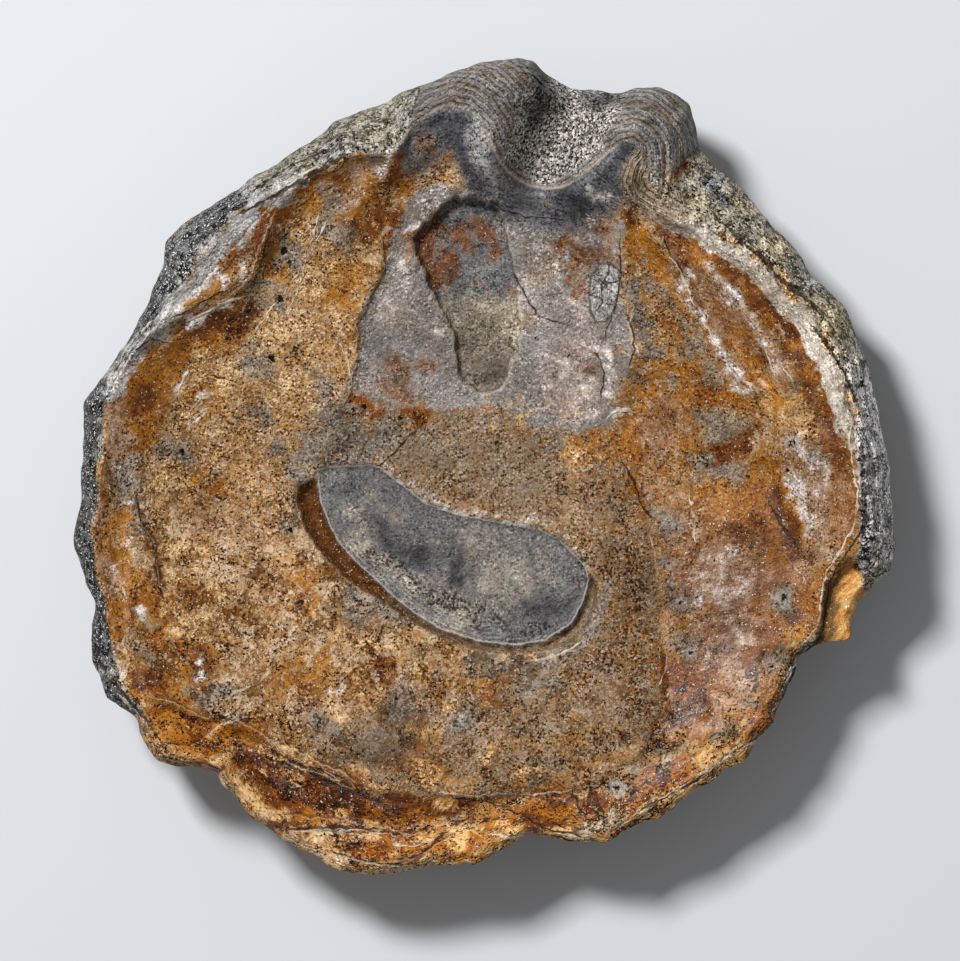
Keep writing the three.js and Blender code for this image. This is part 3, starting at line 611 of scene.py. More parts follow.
# ---- Fossil valve: where its stains lie ----
# Iron stained the calcite amber and rust, ash-grey where chalky, pearly where polished. The pearl
# strokes are partly that pale polished calcite and partly painted glints and sheen on the ridges
# and satin at the right. Stains are laid on as strokes: half-width, strength, then the points of
# the stroke's path, in millimetres.
STAINS = {
    "amber": [
        (3.5, 1, 30, 33, 36, 29, 41, 24.5, 46, 19, 49, 13, 51, 6),
        (3, 1, 29, 27, 33, 21.5, 37, 16, 41, 11), (2.5, 0.8, 22, 33, 25, 29, 27, 24.5, 29, 21),
        (3.5, 1, 28, 14, 31, 10, 36, 9), (4, 1, 23, 10, 22, 5, 25, 1, 29, 4),
        (4, 0.75, 26, -3, 31, -5, 37, -5), (5, 0.75, 36, -8, 40, -6, 41, -12),
        (3, 0.9, 41, -1, 43, -6, 46, -12), (2, 0.9, 51, 3, 52, -3, 51, -9),
        (3.5, 0.8, 32, -10, 30, -16, 35, -15), (4, 0.8, 38, -17, 42, -16, 45, -21, 46, -16),
        (3.5, 0.9, 31, -24, 36, -23, 40, -24), (3.5, 1, 28, -29, 30, -33, 34, -29, 39, -29),
        (3, 0.8, 29, -37, 34, -36), (2.5, 1, 39, -36.5, 41.5, -34.5),
        (2.5, 1, 28, -43.5, 24, -45, 21, -48), (2.5, 1, 18, -50, 12, -49.5, 7, -49),
        (1.6, 1, 23, -3, 24.5, -6.3), (1.8, 0.7, 16, 4, 13, 1.5),
        (1.2, 1, 27.5, 47, 28, 44, 27, 42.5), (1.2, 0.8, 21.5, 38.5, 21, 36),
        (2, 1, -14, 43.5, -12, 42), (1.8, 0.8, -17, 40.5, -18.5, 37), (2.2, 0.8, -22, 41.5, -26, 40),
        (1.6, 0.9, -29.5, 37.5, -31.5, 34.5, -33, 32), (1.4, 1.2, -30.5, 31, -30, 28.5),
        (1.5, 0.8, -44, 23.5, -40, 26, -37, 29, -34.5, 32.5), (1.9, 1, -46, 18, -41, 20.5, -36.5, 23),
        (3, 1, -52, 13.5, -47, 12.5, -50, 9), (2, 0.8, -44, 16, -40, 19),
        (1.8, 0.9, -49.5, 6, -52, 2), (1.6, 1, -55.5, -1, -54.5, -3), (2.2, 0.9, -54, -6, -52, -9),
        (2, 1, -54, -12, -52.5, -15), (2, 0.7, -50, -16, -48, -19),
        (2.6, 1, -48, -22.5, -46.5, -19.5, -52, -21), (2.6, 1, -45, -26.5, -41.5, -27.5),
        (2.4, 0.9, -49.5, -28, -46, -31, -50, -31), (2.2, 0.9, -42, -31.5, -44, -34),
        (1.8, 1, -47.5, -36.5, -43, -38.5, -40, -37.5), (2, 1, -36, -38.5, -33, -38),
        (1.8, 1, -40, -42.3, -34, -41.5, -28, -43.5, -22, -45.5, -16, -48),
        (2.2, 1, -33, -45, -27, -48.5, -20, -48.5, -12, -50.5, -8, -50.5),
        (1.2, 0.9, -27, -51.5, -20, -51.5, -13, -52.5),
        (1.5, 0.9, -18, -54.5, -12, -54, -6, -55.5, 0, -53.5), (1.2, 0.9, 1, -50.5, 4, -52, 7, -52.5),
        (1.5, 0.7, -42, -1.5, -38, -3), (2, 0.6, -38, 12, -41, 10), (1.6, 0.7, -22, -27, -25, -31),
        (1.6, 0.8, -30, -31, -27, -29), (2, 0.7, -8, -44.5, -12, -42), (1.8, 0.6, -25, -19, -27, -16),
        (2.4, 0.7, -21, 25, -21, 29), (1.5, 0.7, -21, 36, -19, 33), (1.5, 0.8, 3, -31, 0, -31),
    ],
    "deep": [
        # The first eight strokes lie in the hollows between the right folds and are partly painted
        # shade.
        (1.4, 1, 40, 24.5, 43, 22.3, 45, 20.5), (1.6, 0.8, 33, 32, 37, 29, 39, 27.5),
        (1.2, 0.7, 31, 25.5, 33.5, 22.5), (1, 0.8, 33.5, 22.5, 34.5, 20), (1, 0.8, 38.5, 18, 40, 16),
        (1.1, 0.9, 43, 17, 45.5, 15.5), (1.1, 0.8, 47, 12, 49, 8.5, 50.5, 5),
        (0.8, 0.8, 47, 16.5, 49, 14.5), (2, 0.6, 36, -8, 40, -10.5),
        (1.2, 0.9, 42, -3.5, 44, -8.5, 46, -12.5), (0.9, 1, 44.5, -19.5, 45.2, -21.7),
        (1, 0.9, 50.2, -16.5, 49.8, -20.5, 50.8, -23.5), (2.5, 0.6, 26, 9, 25, 4),
        (1.2, 0.6, 28, 3, 30, 6), (1.5, 0.5, 31, 13, 35, 12),
        (1.8, 0.9, -33, 22, -37, 22.8, -41, 20.8), (1.4, 0.8, -49, 11, -50.5, 8),
        (1.2, 0.9, -12.7, 43.5, -14.5, 41), (1, 0.8, -19.8, 35, -18, 34.3),
        (0.9, 1, 22, 37.8, 21, 36), (1, 0.9, 26.8, 47, 27.8, 44.5), (1.2, 0.9, -24, 42.3, -27, 41),
        (1.6, 0.8, -42, -26.5, -41.3, -29.5), (1.5, 0.8, -50, -30.5, -47, -29.5),
        (1, 0.9, -47.3, -18, -47.8, -14), (0.8, 1, -49.8, -7.5, -48.3, -10.5),
        (1, 1, -39, -42.7, -34, -41.3, -29, -42.9, -24, -45.4, -19, -47.6),
        (1.6, 1, -33.5, -44, -31, -46.5, -27, -48.5), (1.6, 1, -24, -48.8, -19, -49),
        (1, 0.9, -15, -48.3, -8, -48.7, -2, -49.3), (0.9, 0.9, -8, -50.5, -3, -51),
        (1, 0.8, 10, -48.5, 17, -48), (0.7, 1, 6, -50.6, 8, -51.8, 12, -53),
        (0.8, 0.9, -31, -52, -26, -51.5), (0.8, 0.8, -14, -57.3, -9, -56),
        (1, 0.8, 23.5, -4, 24.2, -6), (0.9, 1, 24.5, -49.5, 26, -49), (1.5, 0.6, -12, -33, -14, -36),
    ],
    "rust": [
        (1, 1, 28, 32.5, 28.8, 30.3), (0.7, 0.8, 26.2, 33.5, 25.5, 35),
        (1.4, 1.3, 34, 2.3, 36, 3, 38.3, 4.2), (1.8, 0.6, 38, -8, 40, -10),
        (1.2, 0.5, 26.5, 8, 27, 9), (1.6, 1, 12.2, 32, 14.5, 31, 17.5, 31),
        (1, 1, 12.5, 29, 13.3, 30), (0.9, 0.9, 17.5, 36, 18, 34), (0.7, 0.8, 13.7, 27.5, 13.5, 25),
        (0.6, 0.9, 16, 17, 18.3, 16.5), (0.5, 0.8, 13.5, 14, 15.5, 14.2),
        (1.6, 1, -18.5, 9.5, -16.5, 9), (1.5, 1, -13.5, 12.5, -11.5, 10.5),
        (1.2, 1, -10.5, 8.7, -9, 7.5), (1.3, 0.9, -14, 15.5, -11.5, 14.5),
        (1, 0.8, -8.5, 14.5, -7.5, 13.5), (1, 0.6, -16, 14, -15, 12),
        (1.5, 0.8, -14.5, 37.5, -12.5, 36, -13.5, 34), (1.2, 0.8, -16, 36, -17, 33.5),
        (1.2, 0.7, -9, 47.8, -8, 46), (1, 0.8, -8.8, 44, -7, 43.3),
        (1.6, 1, -37.3, 20.5, -35.5, 20, -36.5, 18.8), (1, 0.5, -26, 25, -24, 24),
        (1.8, 1, -7, 36, -9, 33.5), (1.5, 1, -5, 34.5, -2.5, 33), (1.3, 1, -6, 30.5, -5, 28),
        (1, 1.2, -9.3, 34.5, -8.5, 30.5, -6.5, 27.5), (1, 1, -1, 35.5, 0.5, 33.5, 1.5, 31),
        (1.3, 1, -16, -29, -14, -29.8), (0.8, 0.9, -7, 29, -4, 28.3),
        (1, 0.8, -19.5, -30.5, -18, -31), (1.2, 0.9, -31, -47, -28, -48, -24, -49),
        (1, 0.9, -20, -49, -18, -48.6), (0.8, 0.8, 36, -41.5, 38, -41),
        (0.5, 0.9, 53, -13.5, 53.8, -14.5), (0.4, 0.9, 53.3, -17, 54, -18),
        (0.7, 1, 27, 49.3, 27.3, 47.7), (1, 0.7, -47, -35, -46, -34.5),
    ],
    "ash": [
        (5, 0.5, -9, 3, 0, 1, 10, -4), (1.8, 1, -34, 15, -32.5, 15.3),
        (1.5, 0.8, -33.5, 17.5, -32, 16.5), (1.5, 0.9, -30.5, 2.5, -31, 3.3),
        (1.6, 0.7, -33.5, 8.5, -32, 7.5), (2, 0.7, -46, 3, -44, 2.5),
        (2, 0.9, -51, 1, -52, -2, -51, -4.5), (1.4, 0.7, -50.5, -6.5, -51, -9.5),
        (1.6, 1, -28.8, 32, -27.5, 29.5, -29, 30.3), (1.2, 0.8, -33, 26.3, -31.5, 26.5),
        (1, 0.8, -29.6, 24.8, -29.4, 24.2), (1.2, 0.8, -33.5, 24, -32, 23.2),
        (1.4, 0.7, -30, 34, -29, 33.5), (1.6, 0.8, -23, 39, -22.3, 37),
        (1.6, 0.8, -21.5, 34.3, -19.5, 33.3), (1.5, 0.8, -24.5, 14, -23, 10),
        (3.2, 1, -22, 7, -19.5, 4.5, -21, 2), (2.5, 0.9, -24.5, 4, -25, 1),
        (2.4, 1, -14.5, 5, -17, 2.3), (1.6, 0.9, -27, 1, -26.5, -1), (1, 0.8, -28, -5, -28.5, -8.5),
        (1, 0.7, -26, -11, -25, -12.5), (1.5, 0.9, -20, -17.5, -16, -19.5, -12, -22),
        (1.3, 0.7, -21, -19.5, -14, -24), (1.2, 0.6, -11, -26.5, -8, -27),
        (2.2, 0.65, -24, -37, -20, -39, -15, -39.5), (2.2, 0.45, -17, -41.5, -21, -42),
        (2, 0.5, -13, -41, -11, -38), (2, 0.8, -12.5, -33, -12, -35.5),
        (1.5, 0.8, -4, -36.7, -2, -36), (1.5, 0.6, -9.5, -35, -10, -32.5),
        (2.2, 0.9, -1, -27.5, 2, -28.5, 6, -28.5),
        (1.2, 0.9, 8, -28, 12.5, -26.5, 16, -22.5, 17.5, -18), (1.5, 0.7, 10, -31, 6, -32),
        (2, 0.7, -50, -26, -46.5, -27.5), (1.4, 0.8, -49, -21.5, -48.5, -22),
        (1.4, 0.8, -42.5, -32.5, -38, -33.5), (1.5, 0.6, -35, -33, -37, -31),
        (2, 1, 31.5, 7.5, 33, 5.5, 36.5, 5.8), (1.6, 1, 31, 1, 34, 0.5, 36, -0.5),
        (1.6, 1, 26.3, -7.5, 26.8, -8.3), (1.2, 0.9, 26.5, -13.3, 27.5, -13.8),
        (1.8, 0.9, 27.5, -17.5, 29, -19.5), (1.5, 0.9, 28, -25, 29.5, -26.5),
        (1, 0.8, 34.3, -26, 35.2, -25.8), (1.4, 1, 43, -18.3, 43.8, -19.5),
        (1.5, 0.9, 41.5, -27, 42.3, -28.5), (1.6, 0.7, 38.5, -34, 41, -34.3),
        (1.6, 0.8, 36, -38.3, 33.5, -39.3), (1.6, 0.9, 24, -40.5, 26.5, -41.8),
        (1.3, 1, 19, -46, 19.6, -46.6), (1.1, 1, 21.5, -43.6, 21.8, -43.8),
        (1.8, 0.8, 15, -51.8, 19, -50.3), (1, 0.9, 21.3, 26.5, 22, 23, 23.5, 20.5, 24.3, 17.5),
        (1.2, 0.8, 24, 27, 27, 23.5, 29.5, 20, 31, 16.5), (1, 0.7, 21.5, 13.5, 23, 12),
        (1.5, 0.7, 29, 17, 33, 14), (1.3, 0.7, 27, 13.5, 27.5, 13), (1.5, 0.6, 22, 28, 23, 30),
    ],
    "mauve": [
        # Strokes along the crests of the ridges at the right are partly a painted sheen round their
        # glints.
        (1.6, 0.9, 26.5, 36.3, 29.5, 34.8), (1, 0.9, 25.5, 34.5, 27, 32.5),
        (1.5, 1, 33.5, 28, 36, 24.5, 38.5, 20.5),
        (1.3, 1, 28, 30, 30, 25, 33, 19.5, 36.5, 14.5, 39, 11.5),
        (1.4, 1, 41, 18.5, 42.5, 15.5, 43.5, 12.5), (2, 0.8, 48, 0, 49, -4, 48.5, -10, 47.5, -14),
        (1.5, 0.7, 51, 1, 51.5, -5, 50.5, -10), (1.4, 0.8, 24, -0.5, 26, -2.5),
        (4, 0.8, 33, -13, 34, -18, 36, -22), (3, 0.7, 38, -13, 37, -17),
        (3.5, 0.6, 31, -22, 34, -27, 38, -30), (3, 0.7, 37, -33, 34, -36),
        (2.5, 0.7, 29, -36, 27, -38), (2, 0.5, 27.5, -22, 28.5, -15),
        (1.8, 0.9, -53.5, 9, -53, 4.5, -54.5, 3), (1.3, 0.7, -56, -4, -56, -8),
        (1.5, 0.8, -55.5, -13, -54, -17), (1.2, 0.6, -51, -11, -50.5, -14),
        (1, 0.9, -42.5, 25, -39, 27.5, -37, 30), (1.2, 0.8, -20, 38, -21, 40),
        (1.3, 0.8, -18, 42, -19.5, 43.5), (3, 0.9, 11, 15, 14, 17, 12, 10.5),
        (2, 0.7, 13.5, 22.5, 13.8, 26), (1.5, 0.7, 14.5, 19.5, 17, 18.5), (2, 0.5, 8, 12, 10, 8.5),
        (2.5, 0.5, 17, 12, 16, 8), (4, 0.65, 27, 8, 26, 0, 28, -7), (3, 0.6, 31, 27, 36, 19),
        (3, 0.3, -36, -24, -33, -29, -36, -31), (3, 0.4, -36, -8, -32, -10),
        (2.5, 0.4, -32, -17, -35, -15), (3, 0.4, -40, -7, -44, -8),
        (2, 0.5, -12, -31, -9, -36, -6, -38), (2.5, 0.5, -3, -40, 2, -38),
    ],
    "cream": [
        (1.2, 1, -44.5, -21, -43, -22.7), (0.9, 1, -45.5, -23.3, -44, -24.5),
        (0.8, 0.9, -41.5, -22.8, -40.5, -23.3), (1, 0.8, -44.5, -11, -45.5, -12.5),
        (0.8, 0.9, -42.3, -11.5, -41.3, -13.8, -42.5, -16), (0.9, 0.8, -44.5, -15.5, -46.5, -15),
        (0.6, 0.8, -46.8, -17.5, -46.3, -20), (0.7, 0.7, -40, -17.5, -38.5, -18.5),
        (1.5, 0.8, -38, 15, -36, 13.5, -37.5, 12), (1.2, 0.8, -41.5, 15.5, -41, 17),
        (1.4, 0.7, -45, 9.5, -43.5, 8), (1.2, 0.7, -44, 11.5, -41.5, 12.5),
        (2, 0.7, -31, 21, -29, 18.5, -32, 17.5), (1.6, 0.7, -26, 20.5, -28, 22.5),
        (1.2, 0.8, -26, 26, -25, 28.5, -24.5, 25), (1.2, 0.7, -22.5, 28, -21, 30.5),
        (1, 0.7, -21.5, 22.5, -20.5, 20), (1.4, 0.5, -27, 13, -25, 10),
        (1.5, 0.5, -30, 10, -29, 12.5), (1.4, 0.5, -36, 6, -39, 4), (2.2, 0.5, -46, -1.5, -43, -4.5),
        (1.5, 0.5, -36, -2, -33, -4), (2, 0.4, -32, -7, -29, -12), (0.6, 0.9, 3.5, 9.5, 6, 10.2),
        (0.8, 0.9, 4.5, 8, 6.8, 8.5), (0.7, 0.7, 10.8, 6.5, 11.5, 8.5), (1, 0.5, 2, 7.5, 5, 6.5),
        (1.2, 0.6, 13, 1, 12, 3.3), (1.4, 0.7, -21, -24, -17, -25, -12.5, -25.8),
        (1.5, 0.5, -26, -21.5, -24.5, -24.5), (1.2, 0.7, -19, -29.3, -18, -31.3),
        (1.2, 0.5, -9.5, -28.5, -4, -27), (1, 0.5, -23, -34.5, -21, -36),
        (0.9, 1.1, -5.6, -34.4, -5.4, -35.3), (0.7, 1, -3.9, -34.3, -3.7, -35),
        (1, 1, -8, -39, -6.3, -39.3), (0.8, 0.9, -11.5, -37.6, -10.3, -38.4),
        (1.1, 1.1, -9, -43.7, -7.7, -44.7), (0.7, 0.9, -17, -45, -13.5, -46.2),
        (0.6, 0.8, -19.5, -43, -17, -44), (0.8, 0.8, -1, -41, 1, -41.3),
        (0.8, 0.6, 4, -44.8, 9, -44.5), (1, 1.2, -30, -41.2, -27, -42.2, -25.5, -42.8),
        (0.5, 1, -33, -40.5, -30, -41), (0.8, 1.1, -39, -41.8, -37.2, -41.5),
        (0.9, 1, -37.5, -43.5, -36, -44.6, -35.5, -45.5), (1.2, 1, -34.3, -47, -33, -49),
        (0.8, 0.9, -35, -48.5, -33.5, -49.7), (0.6, 0.9, -31, -50.6, -28, -50.4),
        (0.6, 0.9, -24, -50.5, -21, -51, -20, -49.6), (0.4, 0.9, -17, -50.7, -12, -52.6),
        (0.8, 1.2, -4.5, -52.3, -1.3, -52.8), (0.5, 1, -7.5, -48.5, -4.7, -48.8),
        (0.7, 1, -9, -53.8, -7.8, -53.4), (0.6, 0.8, -6, -54.3, -3, -54),
        (0.8, 0.7, -11, -57.5, -6, -57.3), (0.7, 0.7, -25, -56.5, -20, -58.3),
        (0.8, 0.9, 3, -51.2, 5.5, -52.5), (0.6, 0.8, 9, -53, 14, -53.9, 18, -53.8),
        (0.8, 1, 31.5, -41.5, 35, -43), (0.8, 0.9, 35, -41.8, 38, -40.8),
        (0.6, 1, 24, -50.3, 25.5, -50.8), (0.5, 0.9, 26, -48.7, 30, -46.9),
        (0.5, 0.8, 32, -45, 34.5, -44), (0.6, 0.8, 42.6, -35, 41, -38),
        (1.4, 0.7, 43.5, 9, 46, 7.5, 48, 9), (1.2, 0.6, 45, 4.5, 47, 5.5, 46.5, 2.5),
        (1.2, 0.6, 41.5, 7, 40.5, 8.5),
    ],
    "pearl_and_glint": [
        # Partly pale polished calcite, partly painted glints and sheen on the ridges and satin at the
        # right.
        (1, 1, 15.3, 39.8, 17.3, 39), (0.7, 1.3, 17.1, 17, 18, 14.5, 18.1, 11.5),
        (0.7, 1.3, 18.8, 7.7, 20.8, 9), (0.8, 1.3, 35.6, 26, 36.6, 24.3),
        (0.7, 1.1, 33, 28.7, 34.5, 27.2), (0.6, 1.1, 30, 24.5, 31, 22),
        (0.6, 1.3, 33.3, 18.3, 35.2, 15.5), (0.7, 1.3, 36, 14.3, 38, 12),
        (0.5, 1, 28.5, 28.3, 29.3, 26.3), (0.6, 0.8, 38.8, 22.5, 39.5, 21.5),
        (0.5, 0.9, 37.8, 20.3, 39.3, 20, 40, 18.5), (0.5, 0.9, 41, 17, 42.2, 14.5),
        (0.5, 0.7, 42.5, 21, 43.5, 20), (0.5, 0.9, 47, 16.3, 48, 15),
        (1, 1.2, 45.2, -2, 46, -4.5, 47, -7, 47.3, -9.5), (1.2, 1, 44.5, 4.5, 46.5, 1.5, 48.5, 0.5),
        (0.9, 0.8, 49, 2, 49.5, -0.5), (0.8, 0.7, 47.5, -3, 49, -2.3),
        (0.5, 0.9, 30.3, -7, 30.8, -10.8), (1.3, 0.6, 32, -16.5, 35.5, -17.5),
        (0.6, 1, 33.5, -20, 35, -19.5), (0.5, 0.8, 31.5, -12.8, 31, -15),
        (0.6, 0.7, 36.5, -19, 38, -17), (1.5, 0.5, 34, -15, 36, -20.5),
        (0.8, 1.1, 17.2, 16.5, 18, 13.5, 18.2, 11), (0.8, 1.1, 18.5, 7.7, 20.5, 8.6),
        (1.2, 0.7, 10.5, 13, 13, 15, 14.5, 12.5), (0.8, 0.6, 14, 7, 16, 9),
        (1, 0.7, 15, 18.5, 17, 18), (1.2, 0.8, 14.5, 36.5, 16.5, 35.8), (0.8, 0.7, 13, 34, 14, 33),
        (1, 0.6, 7.5, 33.5, 9.5, 31, 10.5, 27.5), (0.7, 0.6, 12, 27, 12.5, 24),
        (1.2, 0.5, 4.5, 24, 5, 22), (0.6, 1, -4.5, 39.8, -6.5, 38.7, -9, 36.3, -10.5, 34.6),
        (1, 0.7, -4, 40, 0, 39.7, 2, 38.3), (1.2, 0.6, -12.5, 31.5, -12, 27),
        (1.3, 0.6, -15.5, 24.5, -13, 22.5), (0.8, 0.6, -8.5, 38.5, -6.5, 41),
        (0.9, 0.5, -7.5, 22, -6, 18), (0.7, 1.2, -50.5, 18.5, -48, 20.7, -45, 23.4, -42, 26.2),
        (1, 1, -50, 17.3, -46.5, 20, -43.5, 22.8),
        (1.2, 1, -42.5, 27.5, -40, 29.5, -38, 33, -35.5, 36),
        (1.2, 0.9, -39.5, 30.5, -36.5, 34.5, -33, 37.3), (0.8, 0.9, -34, 36.5, -31, 38.7),
        (0.7, 1, -42, 21.5, -39.5, 23, -37, 24.3), (0.8, 0.8, -48.5, 17.3, -45.5, 19.5),
        (0.5, 1.1, -38.5, 27.3, -37.3, 26.5), (0.6, 1.1, -15.5, 43, -14, 45, -13, 46),
        (0.7, 1, -19.3, 38.5, -18, 40), (1.2, 0.6, -21.5, 38.5, -22.5, 40.5),
        (0.4, 0.9, -11.2, 48.2, -10.2, 49.4), (0.5, 0.8, -35, 27, -34.5, 29.5, -33.5, 33),
        (0.6, 0.8, -54.3, 15, -53.5, 12.5), (0.6, 0.9, -42.5, 7, -41.5, 9.5, -40.3, 10.2),
        (0.5, 1, -43.3, 13.5, -44.2, 11.3), (0.5, 1, -38, 3.8, -37.7, 4.2),
        (0.8, 0.7, -52.5, -0.5, -53.5, 0.5), (0.4, 0.9, -50.5, -5.3, -53, -4.3),
        (0.5, 0.8, -52, -10.5, -51, -13), (0.5, 0.8, -54, -14, -53.5, -15.5),
        (0.7, 1, -50, -20.8, -49.3, -20.3), (0.8, 1, -42, -29.3, -41.3, -30.2),
        (0.8, 0.8, -53.5, -29, -53, -30.5), (0.5, 0.8, -37.5, -35.5, -34.5, -36.3),
        (0.5, 0.9, -22.3, -32, -21.3, -31), (0.9, 0.7, -29, -45, -27, -46.5),
        (0.7, 0.8, -27, -53, -20, -53, -15, -53.3), (0.6, 0.7, -21, -56, -19.5, -57.5),
        (0.8, 0.6, -13, -54.5, -10, -54.2), (1, 0.8, 15.5, -52, 18.5, -51),
        (0.5, 0.9, 27, -42.8, 25.5, -43.2), (0.5, 0.9, 32.8, -32.5, 33.5, -33.2),
        (0.5, 1, 31.5, -28.7, 32, -27.8), (0.5, 0.9, 38, -40.5, 40, -39.3),
        (1.2, 0.7, 54.5, 7, 54.8, 2, 55, -2), (1.3, 0.8, 57, 2, 57.5, -3, 58, -9, 58.5, -13),
        (0.8, 0.7, 55.8, 12, 56.3, 6), (0.8, 0.7, 52.5, 15, 54, 11.5),
        (0.8, 0.7, 49.5, -12.5, 51.5, -11.5),
        (0.6, 0.7, -16, 0.8, -13.5, 0.3, -10, -3, -6, -5.6, 0, -7, 5, -7.8, 9, -8.2, 12, -10, 14.5,
         -12.5, 15.3, -15), (1.2, 0.7, 35.5, -11, 34.5, -15, 33.5, -19, 34.5, -21.5),
        (1, 0.6, 36, -22, 38, -25), (0.8, 0.7, 37.5, -17, 36, -13), (0.8, 0.6, 30.5, -15.5, 31, -19),
        (0.9, 0.5, 35, -29, 38, -31.5), (0.7, 0.5, 30.5, -35, 34, -37.5),
    ],
    "char": [
        (2.4, 1, 15.5, -13, 18, -14.5), (2.5, 1, 20.5, -12, 21.5, -17, 22, -20),
        (2, 0.7, 20, -24, 22, -27), (1.8, 0.8, 16.5, -28, 19, -29.5), (1.5, 0.8, 22, -31, 23, -35),
        (1.5, 0.7, 23.5, -37, 24, -34), (1.2, 0.7, 14, -33, 12, -30),
        (1.5, 0.9, 11.5, -42, 13.5, -42.3), (1, 0.8, 16.5, -38.5, 17.5, -41.5),
        (0.9, 1, 0, -43.6, 1.3, -43.4), (0.8, 0.8, 4.5, -44, 6, -43.5), (1, 0.7, 7, -42, 9, -43),
        (1, 0.6, 20, -36, 19, -39), (1.5, 0.5, 3, -33, 8, -36), (0.8, 1, -5, -3.7, -1.7, -3.6),
        (1, 0.6, -8.5, 0.5, -7, 1.3), (0.9, 0.8, 3.3, 5.4, 5, 5), (0.9, 0.9, 7, 4.4, 8.7, 4.6),
        (1, 0.7, 11, -2, 13, -2.5), (2.2, 0.7, 16, -1, 17.5, -5, 20, -3),
        (1.8, 0.8, 19.5, -6, 21, -9.5), (1.3, 0.6, 8.5, -5, 10, -7), (0.7, 0.8, 0, -0.8, 1, 0),
        (1, 0.7, 6.8, 1, 7.5, 3), (1.2, 0.8, -20.5, 4, -23, 2, -21.5, 0.8),
        (1.5, 0.7, -21, 8, -18.5, 5.5), (1, 0.8, -7.5, 12.5, -6, 13.5), (0.8, 0.8, -12.7, 6, -12, 6),
        (1, 0.8, -15, 15, -13, 17), (0.8, 0.8, -17, 11.5, -15, 10.5),
        (1, 0.9, -37.5, 21.5, -36, 19.5), (0.9, 0.8, -35, 20.8, -34.5, 22),
        (1, 0.9, -29.7, 24.6, -29.4, 24.2), (1, 0.8, -28.5, 17.5, -27.5, 16.2),
        (0.8, 0.7, -26.5, 29.3, -28, 30.5), (0.8, 0.8, -29.5, 34.3, -28.7, 33.7),
        (1, 0.7, -45, 2.3, -43.8, 1.3), (1.3, 0.7, -44, -17, -42.3, -18.5),
        (0.8, 0.7, -38, 17, -36, 18.5), (0.8, 1, -27, -19.7, -26.4, -19.4),
        (0.8, 1, -24.5, -20.3, -23.8, -20.6), (0.8, 1, -22.2, -22, -21.8, -22.3),
        (0.8, 1, -19.3, -23.7, -18.7, -24.3), (0.7, 0.9, -15.5, -24.3, -14.8, -24.6),
        (1, 0.8, -12.5, -22.3, -11.5, -23.3), (0.7, 1, -9, -25.5, -8, -26),
        (0.7, 1, -6.8, -26.3, -6.2, -27), (0.9, 1, -7.5, -29.3, -6.8, -29.7),
        (0.7, 0.9, -4.8, -30.7, -4, -30.8), (0.7, 0.9, -3, -28.3, -2.6, -29.3),
        (1, 0.6, -14, -37, -12, -38), (1.2, 0.6, -31.5, -19.5, -29.5, -19),
        (1, 0.7, -38, -35.8, -34, -36.4), (1.2, 0.9, -31.5, -45.5, -29.5, -46.8),
        (0.8, 0.8, -28.5, -48.7, -26.5, -48.2), (1, 0.9, -20.5, -47.7, -19.3, -49.5),
        (0.5, 0.8, -23, -44.9, -20, -46.3), (0.7, 1, 34.5, 1.3, 33.8, 2.8),
        (0.6, 0.9, 36.5, 4, 38.5, 3, 39, 2), (1, 0.5, 36, -9, 40, -7), (1.2, 0.5, 40, -14, 38.5, -12),
        (0.9, 0.9, 38.7, -34, 40, -34.6), (0.8, 0.7, 28, -18.5, 28.8, -18),
        (1, 0.7, 22.5, 12, 23.3, 13), (0.8, 0.6, 30.5, 11, 31.5, 10), (1, 0.6, 22, 25, 23, 22),
        (0.9, 0.6, 24.5, 22, 27, 24),
        (0.9, 1.2, -16.5, -12.6, -13.3, -14.6, -9.5, -16.8, -6.3, -18.9, -3.2, -20.5, -0.5, -21.8),
        (1.3, 1, 4.5, -24, 9.5, -23.8), (0.8, 1, -14.5, -12, -11, -15.3), (0.7, 0.9, 0, -20, 3, -23),
    ],
    "rock": [
        (4, 1, -37.5, 36, -41, 32.5, -45, 29), (3, 1, -46.5, 26, -49.5, 21.5, -53, 16.5),
        (2.4, 1, -57, 11, -56.5, 8.5), (2, 1, -58, 5, -58.2, 0, -58.3, -6),
        (2, 1, -58.8, -10, -57.5, -14, -56.5, -17), (2, 0.9, -56, -20, -56, -24, -56, -28),
        (1.2, 0.9, -54.5, -32, -51.5, -35.5, -49, -39), (1.2, 0.7, 33, 41.5, 35, 39.5),
        (0.7, 0.35, 35.5, 35.5, 39, 33.2, 42.5, 29.5, 46.5, 26), (1, 0.4, 47.5, 27, 50, 24),
        (1, 0.8, 54, -5, 55, -10, 55.3, -14), (0.8, 0.6, 54.5, 16, 55.5, 10),
    ],
    "sand": [
        (2.2, 0.9, 1, -17, 4, -18.5), (1.3, 0.8, -9, -15.8, -5, -19), (0.9, 0.7, -20, -6, -17, -8.5),
        (1, 0.8, -12, -20.5, -6, -23.2, -1, -24.3), (4, 0.7, -1, -11.5, 5, -15),
        (1.4, 0.8, -17, -4, -13, -7.5),
        (1.2, 1.2, -19, -10, -15.5, -13.2, -11, -16.4, -6, -19.4, -1, -21.8),
        (2, 0.8, 1, -19.5, 6, -17),
    ],
    "zone": [
        (9, 1, -5, 1, 8, -1, 17, -8, 19, -20, 18, -32, 8, -39, -4, -41), (7, 0.8, -12, 4, -4, 4),
        (6, 0.7, -22, -41, -10, -42), (4, 0.8, -22, 6, -19, 10),
    ],
}
